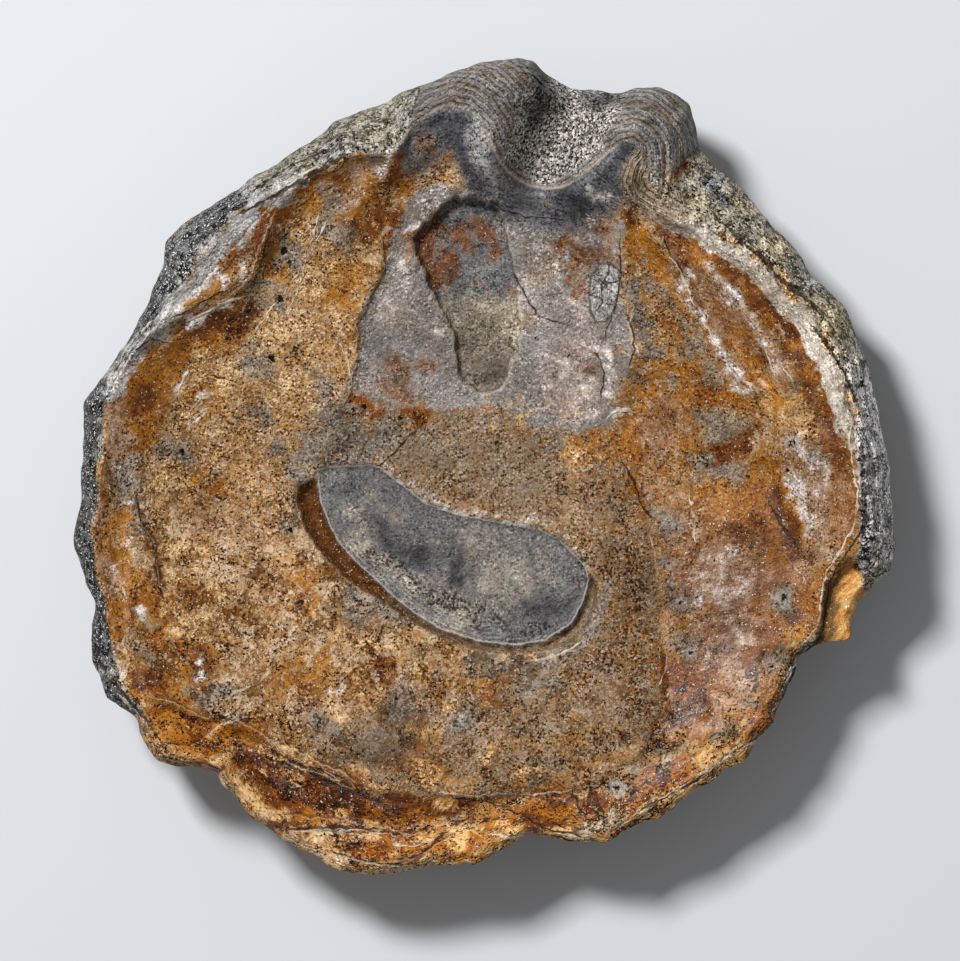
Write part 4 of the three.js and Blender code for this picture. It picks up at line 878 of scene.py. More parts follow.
# Lighter and darker patches, laid on in the same way, dark ones with a strength under 0. Some are
# the stone's own tone, and some are painted light: painted shadow at the back of the ligament's
# trough and beside its right ridge, a painted highlight on the lip, and painted shade that darkens
# the lower right, where the lamp falls most strongly.
TONE_AND_PAINTED_LIGHT = [
    (2, -0.35, -19.5, -6, -14, -9.8, -9.5, -13.8),
    (0.9, 0.6, -18, -11, -14.5, -14.2, -9, -18, -3, -21.5), (2.5, -0.7, 3, 39, 8, 38.2, 13, 37.5),
    (2, -0.9, -4.5, 49, -4, 46.5), (1.3, -0.9, -3, 44.5, -1.8, 42),
    (1.8, 0.7, -1.5, 48, -1, 44.5, 0.5, 43), (2, 0.5, -6, 42, -5, 40),
    (2.2, -0.6, 20.5, 44.5, 19.5, 41.5), (3, 0.5, -14, 25, -13, 29), (2, -0.5, -17, 20, -15, 17),
    (3, 0.5, 7, 26, 9, 31), (2.5, 0.6, 8, 20, 6, 24), (2, 0.7, 12, 12, 15, 10),
    (3, 0.4, -38, 14, -36, 17), (3, 0.5, -28, 24, -25, 18, -27, 12), (3, -0.4, -40, -5, -44, -8),
    (2.5, -0.5, -14, -36, -12, -39), (2.5, -0.5, -20, -40, -14, -42), (3, -0.4, 20, -15, 22, -20),
    (1.8, -1.1, 9, 57, 8.5, 53.5, 7, 50.5), (1.8, -0.9, 15, 53.5, 20, 53.5),
    (2, -0.7, -30, 38, -34, 32), (1.5, -0.8, -18, -8, -14, -11.5, -10, -13),
    (1, -1, -3, -13.5, -4, -17), (1.8, -0.8, 7, -20.5, 12, -20), (1.4, -0.5, -21, -3, -17, -2),
    (1.5, 0.7, -20, -6, -15, -12, -10, -16), (2, 0.6, 0, -17.5, 5, -17),
    (1.2, 0.5, -10, -20.5, -4, -23), (9, -0.6, 34, -17, 33, -28, 27, -36),
    (5, -0.5, 37, -19, 38, -27), (6, -0.1, 22, -44, 31, -40), (5, -0.2, 46, 0, 46, -14),
    (5, -0.2, 47, 14, 50, 4), (7, -0.35, -8, -42, 8, -42), (8, -0.3, -20, -36, -20, -44),
    (8, 0.12, 30, 12, 28, -2), (4, -0.5, 52, 8, 53, -6),
]
# Fine lines on the surface: broken leaves' light edges, painted glints along the crests of the
# ridges and on the satin at the right, and the dark cracks between leaves, each a half-width and
# the points of its path.
LIGHT_EDGES_AND_GLINTS = [
    (0.2, 27, 30.8, 28.3, 28.6, 29.3, 26.4, 30.1, 24), (0.15, 31.4, 21.5, 33, 19),
    (0.25, 34.8, 16.2, 37, 13.4, 38.6, 11.8),
    (0.12, 37.6, 22.6, 39.2, 20.6, 40.2, 18, 41.3, 15.6, 42, 13.8),
    (0.1, 45, 11, 44.2, 13.4, 43.2, 14.6),
    (0.13, 53.3, 8, 52.6, 4, 53.3, 0, 54, -4, 53.6, -8, 51.5, -12, 49.5, -15, 48.6, -19, 48.4, -22.5,
     46, -26, 44, -30), (0.1, 24.2, -10, 25.3, -15), (0.12, 26.6, -27, 26.3, -29.5, 25.3, -31.5),
    (0.2, 21.5, 23, 20.8, 20.5, 22.3, 17), (0.3, 17.8, 7.4, 19.5, 8.6, 21, 8.4),
    (0.2, 30, -5, 30.4, -7.5, 30.6, -10.5), (0.12, 43.5, -12.5, 46, -15.3, 46.4, -16),
    (0.2, -46, 19.8, -42, 21.8, -40, 22.8, -37, 24.2, -35.5, 24.7),
    (0.1, -24, 36.8, -25, 33, -26, 29.5, -27, 26, -28.5, 23),
    (0.1, -25.5, 31, -29, 25.5, -31.5, 22.5, -34, 19), (0.12, -23, 35.5, -24.3, 33),
    (0.1, -25.2, 34, -26.3, 30), (0.15, -43, 6.5, -42.6, 8.5, -41.3, 10, -40, 10.4),
    (0.15, -43, 14.3, -44, 12.5, -44.3, 11.3), (0.12, -21, 18, -19.8, 15.5, -19.3, 12, -20.2, 10),
    (0.12, -22, 17.5, -21, 20, -19.8, 22.3),
    (0.22, -31, -26, -30.7, -28, -31.5, -30, -34, -31.8, -37, -32.8),
    (0.2, 7, -28, 9.5, -27.5, 11.5, -26.8, 13.5, -25.5),
    (0.15, -6, -47.2, -2, -47.6, 2, -47.4, 7, -47.5, 12, -46.9, 16, -46),
    (0.2, -28, -52.6, -22, -52.4, -17, -52.5, -14, -53),
    (0.2, -29, 40.5, -27, 41.8, -24.5, 43.5, -22, 45),
    (0.2, -54.3, 14.5, -52.3, 17, -50, 19.8, -48, 21.5),
    (0.15, -53, -32.8, -50.5, -35.3, -48.5, -37.2), (0.15, -13, -54.6, -10, -54.8, -8, -53.8),
    (0.2, -20, -56.3, -16, -57.4, -12, -57.8), (0.15, 1.5, -53, 4, -53.6, 6.5, -52.8),
    (0.15, 8, -51.8, 12, -53.4, 18, -53.5), (0.15, 47, -25.5, 44.6, -29, 43.6, -31.5, 42, -35),
    (0.2, 40, -39.3, 36, -40.8, 33.5, -42.8, 31, -44.5),
    (0.15, 30, -45.5, 27, -47, 25, -48.2, 22.5, -50),
]
DARK_LINES = [
    (0.4, 35, 35, 37, 32.8, 40, 30.6, 42, 28, 44, 26.5, 47, 24.5, 49, 22),
    (0.15, 20, 1, 21.8, -2, 22.6, -4.8, 23.8, -6.7), (0.15, 26, 33, 27, 30.8, 28.4, 29),
    (0.18, 42, -6, 43, -7.8, 44.2, -9.6), (0.25, 53.8, 10, 52, 14, 50, 17.5, 48, 20),
    (0.25, 54.6, 3, 55, -3, 55, -9), (0.12, 54.5, -9, 52, -12.8, 50, -16.5, 49.3, -22),
    (0.35, -20, 45.2, -24, 43, -27, 41.2, -29.5, 40), (0.2, -29.5, 40, -32, 38.6, -35, 37),
    (0.2, -22, 46.3, -26, 44.8, -30, 42.8, -33, 40.5),
    (0.12, -33.2, 27.5, -32.3, 30, -31.6, 32.5, -30.8, 34.8),
    (0.15, -45, 22, -42.5, 23, -41.3, 23.8, -38, 25.6), (0.12, -50.5, 17, -48.3, 18.8, -46.6, 18.4),
    (0.1, -50.3, -5, -50, -7.5, -48.7, -9.5, -47.8, -12, -47.6, -15, -46.8, -18.5),
    (0.25, -53.5, -31, -51.5, -33.8, -49, -36.5, -47.5, -38.8),
    (0.25, -38.5, -35.9, -36.5, -36.8, -34, -36.4),
    (0.12, 4.4, 28, 5, 26.5, 6.5, 24, 8, 22, 10.5, 21.3),
    (0.15, -9, 6.7, -11, 4.5, -13.5, 2, -15.5, 0.3), (0.1, 0, 39.3, 2.5, 37.5, 6, 36.5, 11, 36),
    (0.3, 15.5, -46.5, 16.8, -49.5), (0.15, 13, -47.5, 13.8, -49.5), (0.12, 14.7, -46.8, 15.2, -49),
    (0.2, -31, -42.2, -25, -44.6, -19, -47, -15, -48.5), (0.15, -28, -42.6, -22, -44.4, -17, -46.7),
    (0.2, -28, -52.2, -20, -52, -12, -53),
    (0.15, -22, -55.6, -17, -57, -13, -57.4, -9, -55.8, -6, -53),
    (0.15, 6, -50.5, 9, -52.3, 14, -53.3), (0.12, -4, -47.9, 0, -48.3, 4, -49.8),
    (0.15, 23, -49.3, 27, -47.3, 31, -45, 35, -41.5, 39, -39.3),
    (0.2, 48.5, -24.5, 45.5, -28, 43.3, -33), (0.12, 19.5, 33, 19.9, 28, 19, 24, 17.5, 19.5),
    (0.12, 20.8, 22, 21.8, 18.5, 21, 15), (0.12, 16.3, 17, 17.4, 14, 17, 11),
    (0.1, 15.6, 27.5, 17, 26.6, 19.2, 27.2), (0.1, 17, 26.6, 17.2, 24.2, 16.2, 23),
    (0.1, 17.2, 24.2, 19, 23.8), (0.1, 17.8, 29.6, 17.6, 28, 17, 26.6),
    (0.08, 15.5, 25.2, 17.2, 24.6), (0.08, 17.1, 22.6, 17.4, 21.8),
]
# Pores worn open: place and radius, then how strong the ring of pale calcite round each is.
PORES = [
    (19.2, -46.4, 0.4, 1), (21.6, -43.7, 0.25, 0.8), (26.6, -7.7, 0.3, 0.6), (43.4, -18.6, 0.4, 0.8),
    (44.4, 3.6, 0.45, 1), (30, -26.8, 0.3, 0.7), (-29.7, 24.6, 0.6, 0.3), (-28.3, -9, 0.35, 0.2),
    (-32.3, -13.3, 0.3, 0.1), (-35.5, -13, 0.3, 0.1), (7.6, 19, 0.3, 0), (12.3, 16.3, 0.3, 0),
    (43.8, -0.2, 0.3, 0.5), (-23.2, -20.3, 0.3, 0.1), (26.8, -13.8, 0.25, 0.7), (35, -26, 0.3, 0.2),
    (33.5, -13.3, 0.25, 0.2), (-22, 6, 0.25, 0.1), (-4.2, -37, 0.4, 0.5), (-44, 2.5, 0.4, 0.2),
    (-6.9, -29.6, 0.35, 0.2), (-27, -36.8, 0.3, 0.2), (-12.9, -33.6, 0.3, 0.2),
    (-26.7, -19.5, 0.4, 0.1), (-30.8, 16.3, 0.5, 0), (-36.5, 21.5, 0.5, 0), (-35.6, 19.8, 0.4, 0),
    (-37, 18.7, 0.4, 0), (-34.2, 22.8, 0.35, 0), (-29, 31.5, 0.5, 0), (-28.3, 29.8, 0.4, 0),
    (-17.5, 9, 0.4, 0), (-12, 7.5, 0.4, 0), (41.5, -28.6, 0.35, 0.6), (28.5, -19.5, 0.3, 0.5),
]
# Outlines of the polished plate under the hinge and of the nodule on it, a translucent band on the
# left flank, leaves curled up beside the ligament area, and the sand in its trough.
PLATE = [
    (-15, 34), (-14.3, 29), (-16, 26), (-18.5, 21), (-18.3, 18), (-19, 14), (-19.5, 11), (-15, 8.5),
    (-8, 9), (0, 9.5), (7, 6), (14, 5), (20, 5), (22, 9), (21.5, 18), (20, 26), (20.5, 34), (20, 39),
    (12, 37), (4, 39.5), (-3, 41), (-9, 41), (-13, 37),
]
NODULE = [
    (15.2, 26), (15.3, 23), (16, 21.4), (17.5, 21.2), (18.8, 23), (19.5, 26), (19.4, 28.5),
    (18.2, 30), (16.5, 29.6), (15.5, 28),
]
LEFT_BAND = [
    (-54.3, 11.5), (-52.8, 14.6), (-49.3, 18.6), (-45.5, 22.6), (-42.2, 26.9), (-38.8, 31.4),
    (-35.3, 35.3), (-30.9, 39), (-27, 41.7),
]
CURL = [
    (27, 46.8), (24.3, 45.8), (22.4, 43.8), (21.8, 41.6), (23, 39.7), (26, 38.1), (29.5, 36.4),
    (33, 34.5),
]
SAND = [(3, 45), (8, 41.5), (13, 43), (19, 50), (21, 55), (12, 58), (7.5, 57), (5, 53)]
# How much wider a stain falls off than its strokes' half-widths.
STAIN_SPREAD = 1.2
# The distance kept where no line, edge or pore is near.
FAR = 50.0


def bend(flat):
    """A path's numbers as points."""
    return list(zip(flat[0::2], flat[1::2]))


def nearest_line(lines, x, y):
    """Distance from the nearest line in that line's own half-widths, under 0 on its right side, so
    that it passes evenly through 0 along the line."""
    field = np.full(np.shape(x), FAR)
    for half, *flat in lines:
        away, side = to_path(bend(flat), x, y)
        field = np.where(away / half < np.abs(field), away / half * side, field)
    return field


def keep(name, values, below=0):
    """Stores a number for each of the valve's points, with another or others below the edge."""
    below = np.broadcast_to(below, len(points) - len(values))
    stored = np.concatenate([values, below]).astype(np.float32)
    valve_mesh.attributes.new(name, "FLOAT", "POINT").data.foreach_set("value", stored)


# Noise of several sizes, and places drifted by it, so that no stain has an even outline.
x, y = points[: (GRID + 1) ** 2, :2].T
patchy = rough(x, y, 12, 300, 3)
mottled = rough(x, y, 4.5, 310, 3)
lumpy = rough(x, y, 1.8, 320, 2, 0.7)
crumbly = rough(x, y, 1.0, 325, 1)
drift_x = x + 1.3 * rough(x, y, 4, 330, 4, 0.6)
drift_y = y + 1.3 * rough(x, y, 4, 340, 4, 0.6)


def stroke(flat, half):
    """How full a stroke is at each point: 1 on its path, falling off by its half-width."""
    return bell(to_path(bend(flat), drift_x, drift_y)[0], half)


stain = {}
for name, strokes in STAINS.items():
    mask = np.zeros(len(x))
    for half, strength, *flat in strokes:
        mask = np.maximum(mask, strength * stroke(flat, STAIN_SPREAD * half))
    stain[name] = mask
# Lighter and darker patches: the stone's own tone, with painted shadow, highlight and shade.
tone_and_painted_light = sum(strength * stroke(flat, half) for half, strength, *flat in TONE_AND_PAINTED_LIGHT)
# How far each point lies inside each outline.
ragged_edge = 0.25 * rough(x, y, 1.6, 50, 2)
into = {
    "scar": depth_in(SCAR, x, y),
    "groove": depth_in(GROOVE, x, y) + ragged_edge,
    "hole": depth_in(HOLE, x, y) + 1.3 * ragged_edge,
    "chip": depth_in(EDGE_CHIP, x, y) + ragged_edge,
    "plate": depth_in(PLATE, x, y),
    "nodule": depth_in(NODULE, x, y) + 0.3 * lumpy,
    "ligament": depth_in(LIGAMENT, x, y),
    "layer": depth_in(INNER_LAYER, x, y) + 0.4 * rough(x, y, 3.5, 40, 3),
    "sand": depth_in(SAND, drift_x, drift_y),
}
# How far out past the rim's crest each point lies, and how far in behind the ligament's lip.
past_rim = -depth_in(FIELD, x, y)
from_lip = to_path(LIP, x, y)[0] * np.sign(into["ligament"])

# ---- Fossil valve: its colours ----
# Each kind of calcite has shades from dark to light, written as they look on a screen, 0 to 255.
# Noise of a few millimetres picks the shade, and a stain's strength lays it over what is below.
SHADES = {
    "tan": ((84, 62, 40), (134, 104, 72), (166, 132, 96), (192, 160, 124), (226, 202, 170)),
    "granular": ((56, 45, 32), (104, 84, 62), (137, 112, 86), (164, 140, 112), (206, 186, 158)),
    "plate": ((74, 68, 63), (105, 98, 92), (130, 121, 114), (153, 142, 134), (196, 187, 179)),
    "brown plate": ((76, 60, 44), (106, 87, 68), (128, 107, 86), (150, 128, 105), (188, 170, 148)),
    "grey plate": ((90, 89, 91), (122, 120, 122), (150, 147, 148), (174, 171, 171), (208, 205, 203)),
    "lip": ((38, 38, 43), (62, 62, 67), (88, 87, 90), (114, 113, 113), (158, 156, 153)),
    "pale lip": ((72, 70, 70), (104, 102, 101), (134, 131, 128), (160, 157, 153), (196, 193, 188)),
    "film": ((66, 38, 12), (114, 76, 36), (146, 102, 54), (172, 128, 76), (206, 166, 120)),
    "amber": ((50, 22, 1), (104, 54, 6), (140, 82, 16), (170, 112, 36), (208, 164, 100)),
    "deep": ((20, 8, 1), (56, 25, 3), (88, 45, 6), (128, 75, 18), (174, 116, 46)),
    "mauve": ((84, 60, 48), (126, 96, 80), (156, 127, 111), (184, 157, 144), (218, 200, 192)),
    "ash": ((46, 40, 35), (84, 76, 68), (116, 106, 96), (150, 139, 126), (196, 184, 168)),
    "rust": ((24, 9, 2), (62, 28, 8), (100, 52, 16), (138, 82, 34), (170, 120, 70)),
    "cream": ((122, 84, 44), (164, 122, 74), (192, 152, 104), (212, 178, 134), (236, 212, 176)),
    "pearl_and_glint": ((120, 108, 100), (164, 152, 144), (198, 188, 182), (224, 217, 212), (248, 245, 242)),
    "beige leaf": ((46, 42, 36), (94, 87, 75), (134, 126, 109), (164, 156, 139), (208, 201, 189)),
    "grey leaf": ((60, 58, 56), (104, 101, 98), (138, 135, 131), (168, 165, 161), (206, 204, 200)),
    "olive leaf": ((64, 54, 36), (108, 94, 68), (146, 131, 100), (172, 157, 127), (208, 198, 176)),
    "crust": ((8, 8, 10), (30, 29, 31), (76, 75, 76), (136, 134, 131), (212, 209, 204)),
    "grey side": ((72, 72, 74), (118, 117, 116), (152, 150, 148), (182, 180, 177), (226, 224, 222)),
    "outer amber": ((70, 42, 20), (126, 86, 44), (160, 116, 66), (188, 146, 96), (224, 194, 156)),
    "outer deep": ((34, 20, 10), (74, 42, 18), (104, 62, 28), (138, 90, 46), (180, 132, 80)),
    "outer pearl_and_glint": ((108, 102, 97), (142, 137, 132), (172, 167, 163), (198, 193, 189), (226, 222, 219)),
    "crest": ((102, 92, 80), (144, 134, 122), (178, 169, 158), (208, 201, 192), (240, 236, 230)),
    "translucent": ((96, 92, 89), (138, 135, 132), (172, 170, 168), (202, 200, 198), (232, 231, 230)),
    "ridges": ((62, 57, 53), (94, 89, 85), (118, 113, 109), (142, 137, 132), (182, 176, 170)),
    "brown ridges": ((54, 44, 34), (84, 70, 54), (110, 92, 72), (136, 115, 92), (172, 150, 126)),
    "trough sand": ((54, 53, 52), (118, 114, 109), (162, 156, 148), (180, 174, 166), (198, 192, 184)),
    "curl": ((56, 42, 28), (104, 86, 66), (142, 124, 102), (176, 160, 140), (220, 208, 190)),
    "groove": ((30, 15, 4), (62, 34, 8), (86, 49, 12), (108, 65, 20), (134, 90, 44)),
    "grey groove": ((34, 29, 24), (54, 46, 37), (72, 61, 48), (94, 81, 66), (126, 112, 95)),
    "slate": ((48, 46, 48), (76, 74, 75), (100, 97, 95), (118, 114, 109), (150, 144, 136)),
    "scar sand": ((70, 62, 52), (104, 95, 83), (132, 121, 106), (152, 140, 122), (184, 172, 152)),
    "hole": ((50, 43, 36), (84, 74, 62), (112, 101, 87), (136, 124, 108), (172, 161, 146)),
    "light hole": ((72, 65, 53), (116, 105, 86), (150, 138, 116), (172, 161, 138), (198, 188, 168)),
    "grey hole": ((46, 46, 50), (72, 72, 75), (96, 95, 95), (122, 119, 116), (158, 154, 148)),
    "rusty hole": ((28, 15, 7), (66, 37, 19), (100, 62, 37), (134, 92, 62), (168, 130, 100)),
    "chip": ((116, 66, 20), (172, 108, 44), (204, 144, 74), (220, 172, 110), (242, 218, 184)),
    "brown chip": ((60, 40, 20), (92, 64, 32), (116, 84, 44), (140, 104, 60), (170, 136, 92)),
    "nodule": ((92, 87, 82), (124, 119, 114), (145, 140, 135), (165, 160, 155), (200, 196, 191)),
    "chalk": ((48, 44, 40), (98, 90, 79), (138, 128, 113), (170, 160, 144), (212, 204, 190)),
    "golden chalk": ((70, 42, 18), (128, 84, 42), (168, 122, 70), (196, 154, 104), (226, 200, 162)),
}


def shades(value, kind):
    """Colours of a kind of calcite, spread evenly over values from 0 to 1, and mixed between."""
    at = np.linspace(0, 1, len(SHADES[kind]))
    return np.stack([np.interp(value, at, channel) for channel in zip(*SHADES[kind])], axis=-1)


def lay(under, over, mask):
    """The colour under where the mask is 0, the one over it where the mask is 1, mixed between."""
    return between(under, over, mask[..., None])


# How far from dark to light each point is: common for most calcite, and calm where polished.
common = 0.5 + 0.08 * patchy + 0.08 * mottled + 0.09 * lumpy + 0.06 * crumbly + 0.3 * tone_and_painted_light
calm = 0.5 + 0.12 * patchy + 0.14 * mottled + 0.07 * lumpy + 0.35 * tone_and_painted_light

# The ground of the inside: tan, a granular zone round the scar, the plate, and the lip, with a
# painted highlight along the lip's upper edge.
colour = shades(common, "tan")
zone = ease(stain["zone"] + 0.15 * mottled, 0.25, 0.75) * ease(into["layer"], -0.2, 0.2)
above_scar = ease(y - 0.3 * x, -8, 0)
granular = shades(common, "granular")
granular = lay(granular, granular * (0.98, 1.04, 1.14), above_scar)
colour = lay(colour, granular, zone)
plate = ease(into["plate"] + 0.9 * mottled, -0.4, 0.8)
colour = lay(colour, shades(calm, "plate"), plate)
colour = lay(colour, shades(calm, "brown plate"), 0.7 * plate * ease(mottled - patchy, 0.1, 0.9))
greyer = ease(0.9 * rough(x, y, 9, 397, 3) + 0.3 * mottled, -0.1, 0.8)
colour = lay(colour, shades(calm, "grey plate"), 0.65 * plate * greyer)
lip = ease(into["ligament"] + 0.8 * mottled, -7.5, -4.5) * ease(-past_rim, -1, 0.5)
colour = lay(colour, shades(calm, "lip"), lip)
# Painted highlight: a paler band along the lip's rounded upper edge.
painted_lip_highlight = bell(into["ligament"] + 2.2 - 0.6 * mottled, 1.5) * ease(-x, -14, 2)
colour = lay(colour, shades(calm, "pale lip"), 0.35 * lip * painted_lip_highlight)

# What is laid over the ground, and how thickly. Each stain in turn, with how opaque and how glossy
# it is, and how far it soaks into the ground instead of lying on it in flecks.
over_colour = shades(common, "film")
over_colour = lay(over_colour, over_colour * 0.9 + 6, zone)
flecks = 0.5 + 0.07 * patchy + 0.09 * mottled + 0.2 * lumpy + 0.1 * crumbly
smooth = np.maximum(plate, lip)
cover = np.clip(flecks - 0.08 * zone, 0, 0.9) * (1 - smooth)
satin = lip.copy()
sleek = np.zeros(len(x))
leafy = ease(-into["layer"], 0, 0.5) * ease(-y, 25, 36)
for name, most, gloss, soaking in (
    ("amber", 1, 0.8, 0), ("deep", 0.95, 0.6, -1), ("mauve", 0.62, 0.9, 0), ("ash", 0.8, 0.1, 0),
    ("rust", 0.9, 0, -0.3), ("cream", 0.85, 0, -0.4), ("pearl_and_glint", 0.95, 0.9, 1),
):
    pearly = name == "pearl_and_glint"
    soaked = np.clip(soaking + smooth, 0, 1)
    ragged = (0.25 * mottled + 0.32 * lumpy + 0.12 * crumbly) * (1 - 0.35 * soaked)
    fringe = between(0.35 + 0.05 * pearly, 0.1, leafy)
    middle = 0.5 + 0.2 * pearly * (1 - leafy)
    mask = ease(stain[name] + ragged, middle - fringe, middle + fringe)
    mask *= most * (1 - 0.35 * soaked * smooth * (not pearly)) * (1 - 0.5 * leafy * pearly)
    tinted = shades(common, name)
    colour = lay(colour, tinted, mask * soaked)
    over_colour = lay(over_colour, tinted, mask * soaked)
    in_flecks = mask * (1 - soaked)
    cover = cover + in_flecks - cover * in_flecks
    over_colour = lay(over_colour, tinted, in_flecks / np.maximum(cover, 1e-6))
    satin = between(satin, gloss, mask)
    sleek = between(sleek, gloss > 0.8, mask)
redder = between(1, np.array([1.0, 0.93, 0.78]), leafy[:, None])
colour = colour * redder
over_colour = over_colour * redder

# Past the rim: beige, grey and olive leaves under black and white crust, and their stains. Along
# the front the margin shows the calcite of the inside instead.
front = ease(np.maximum(0.25 * x, -0.1 * x) - y, 38, 46)
outer = ease(past_rim + 0.25 * lumpy, 0, 0.6) * (1 - 0.85 * front)
ragged = 0.16 * mottled + 0.22 * lumpy
right = ease(x, 20, 30)
flank = shades(common, "beige leaf")
greyed = ease(rough(x, y, 5, 395, 3), 0, 0.5) * between(1, 0.5, right)
flank = lay(flank, shades(common, "grey leaf"), greyed)
olive = 0.7 * right * ease(rough(x, y, 7, 398, 3), -0.1, 0.5)
flank = lay(flank, shades(common, "olive leaf"), olive)
flank = lay(flank, shades(common, "crust"), ease(stain["rock"] + 0.8 * ragged, 0.25, 0.7))
grey_side = ease(x, 49, 55) * ease(-np.abs(y), -22, -8)
flank = lay(flank, shades(common, "grey side"), grey_side)
for name, most in (("amber", 0.7), ("deep", 0.8), ("pearl_and_glint", 0.75)):
    outer_stain = most * ease(stain[name] + 0.7 * ragged, 0.35, 0.8)
    flank = lay(flank, shades(common, "outer " + name), outer_stain)
# Painted light: the flank at the upper right, turned away from the lamp, and the grey right side are
# painted lighter than their own colour.
painted_light_away_from_lamp = ease(x, 22, 40) * ease(y, 0, 15)
colour = lay(colour, flank * (1 + 0.28 * painted_light_away_from_lamp + 0.25 * grey_side)[:, None], outer)

# A pale band on the rim's crest at the right, and a translucent one past it at the left.
near_crest = bell(past_rim + 0.4 * lumpy + 0.6 * mottled, 1.4) - 0.12 * lumpy
crest_band = ease(near_crest, 0.1, 0.7) * ease(x, 22, 28) * ease(y, 1, 7)
# Painted light: the crest band is painted lighter too where it is turned away from the lamp.
crest = shades(common + 0.2 * lumpy, "crest") * (1 + 0.15 * painted_light_away_from_lamp)[:, None]
colour = lay(colour, crest, 0.9 * crest_band)
from_band = to_path(LEFT_BAND, drift_x, drift_y)[0]
left_band = ease(bell(from_band, 1.7) + 0.15 * lumpy + 0.1 * mottled, 0.2, 0.5)
colour = lay(colour, shades(common, "translucent"), 0.85 * left_band)
bands = np.maximum(crest_band, left_band)

# The ligament area's banded ridges and sandy trough, and the leaves that curl up beside it.
browned = ease(0.7 * rough(x, y, 4, 396, 3) + 0.5 * np.sin(2.4 * from_lip), 0, 0.7)
ridged = lay(shades(calm, "ridges"), shades(calm, "brown ridges"), 0.6 * browned)
in_trough = ease(into["sand"], -0.8, 0.8)
on_ligament = ease(into["ligament"], -0.1, 0.2)
colour = lay(colour, lay(ridged, shades(calm, "trough sand"), in_trough), on_ligament)
from_curl, curl_side = to_path(CURL, x, y)
in_curl = ease(-from_curl - 0.5 * lumpy, -2.6, -1.6) * (1 - on_ligament) * ease(-x, -31, -26)
colour = lay(colour, shades(common, "curl"), in_curl)
cover = cover * (1 - outer) * (1 - bands) * (1 - on_ligament) * (1 - in_curl)
satin = satin * (1 - outer) * (1 - on_ligament)

# Groove, scar, hole, chip and nodule, each inside its own outline.
in_groove = ease(into["groove"], -0.3, 0.2) * ease(-into["scar"], -0.3, 0.1)
groove_wall = bell(into["groove"] - 0.7, 0.45) * ease(-x, -4, 6)
fading = ease(x - 0.4 * y, -10, -4) * between(1, 0.45, groove_wall)
groove_colour = lay(shades(common, "groove"), shades(common, "grey groove"), fading)
by_scar = between(0.15, 1, ease(into["scar"], -1.5, -0.6))
colour = lay(colour, groove_colour, in_groove * between(1, by_scar, ease(x, -12, 0)))

in_scar = ease(into["scar"], -0.3, 0.1)
sanded = 0.7 * ease(stain["sand"] + 0.25 * mottled + 0.3 * lumpy, 0.1, 1)
scar_colour = lay(shades(calm + 0.1 * tone_and_painted_light, "slate"), shades(calm, "scar sand"), sanded)
colour = lay(colour, scar_colour, in_scar)

in_hole = ease(into["hole"], -0.3, 0.2)
hole_colour = shades(calm - 0.1 * ease(-y, -18, -14), "hole")
light_half = ease(x + 0.9 * (y - 22.5) + 0.6 * lumpy, -1.2, 0.8) * ease(-y - 0.35 * x, -27, -25)
hole_colour = lay(hole_colour, shades(calm, "light hole"), 0.85 * light_half)
hole_colour = lay(hole_colour, shades(calm, "grey hole"), ease(y, 23, 27))
rusty = ease(stain["rust"] + 2.2 * ragged, 0.15, 0.9) * ease(y, 22, 27)
hole_colour = lay(hole_colour, shades(common, "rusty hole"), rusty)
colour = lay(colour, hole_colour, in_hole)

in_chip = ease(into["chip"], -0.2, 0.3)
chip_browned = ease(0.1 * y - x + 0.5 * lumpy, -53.6, -52.9)
chip_colour = lay(shades(calm + 0.15 * lumpy, "chip"), shades(common, "brown chip"), chip_browned)
colour = lay(colour, chip_colour, in_chip)
in_nodule = ease(into["nodule"], -0.2, 0.3)
colour = lay(colour, shades(calm, "nodule"), in_nodule)

sunk = np.maximum(np.maximum(in_hole, in_groove), np.maximum(in_chip, in_nodule))
satin = between(between(satin, 0.6, in_scar), 0.25, sunk)
bare = sunk * between(1, 0.35, in_groove * ease(x, -8, 4))
cover = cover * (1 - np.maximum(in_scar, bare))

# How strongly fine grain shows: most on crust, less on the polished plate, least in the chip.
crusted = ease(stain["rock"] + ragged, 0.25, 0.7)
under_groove = to_path([(-3, -26.5), (2, -28), (8, -28), (14, -24)], x, y)[0]
grain = between(between(between(1.0, 0.85, zone), 0.9, satin), 0.6, sleek)
grain = grain * between(1, 1.15, ease(-y, 18, 32)) * (1 + 0.9 * leafy)
for mask, strength in (
    (plate, 0.42), (lip, 0.8), (outer, between(1.4, 3.6, crusted)), (bands, 0.5),
    (on_ligament, between(0.5, 1.1, in_trough)), (bell(under_groove, 1.4), 0.5), (in_scar, 0.62),
    (in_groove, 0.5), (np.maximum(in_hole, in_nodule), 0.65), (in_chip, 0.25),
):
    grain = between(grain, strength, mask)

# The underside and the edge's leaves: chalky grey-beige, grimy in the growth lines.
under_x, under_y, under_z = points[len(x):].T
under_tone = 0.5 + 0.14 * rough(under_x, under_y, 12, 360, 3)
under_tone = under_tone + 0.2 * rough(under_x, under_y, 3, 370, 3)
edge_stain = ease(rough(under_x, under_y, 9, 380, 2) + 0.9 * ease(-under_y, 25, 45), 0.1, 0.7)
under = lay(shades(under_tone, "chalk"), shades(under_tone, "golden chalk"), 0.7 * edge_stain)


def keep_colour(name, values):
    """Stores a colour for each of the valve's points, as the light it stands for: each channel's
    share of 255, to the power 2.2."""
    stored = np.concatenate([(values / 255) ** 2.2, np.ones((len(points), 1))], axis=1)
    kept = valve_mesh.attributes.new(name, "FLOAT_COLOR", "POINT")
    kept.data.foreach_set("color", stored.astype(np.float32).ravel())


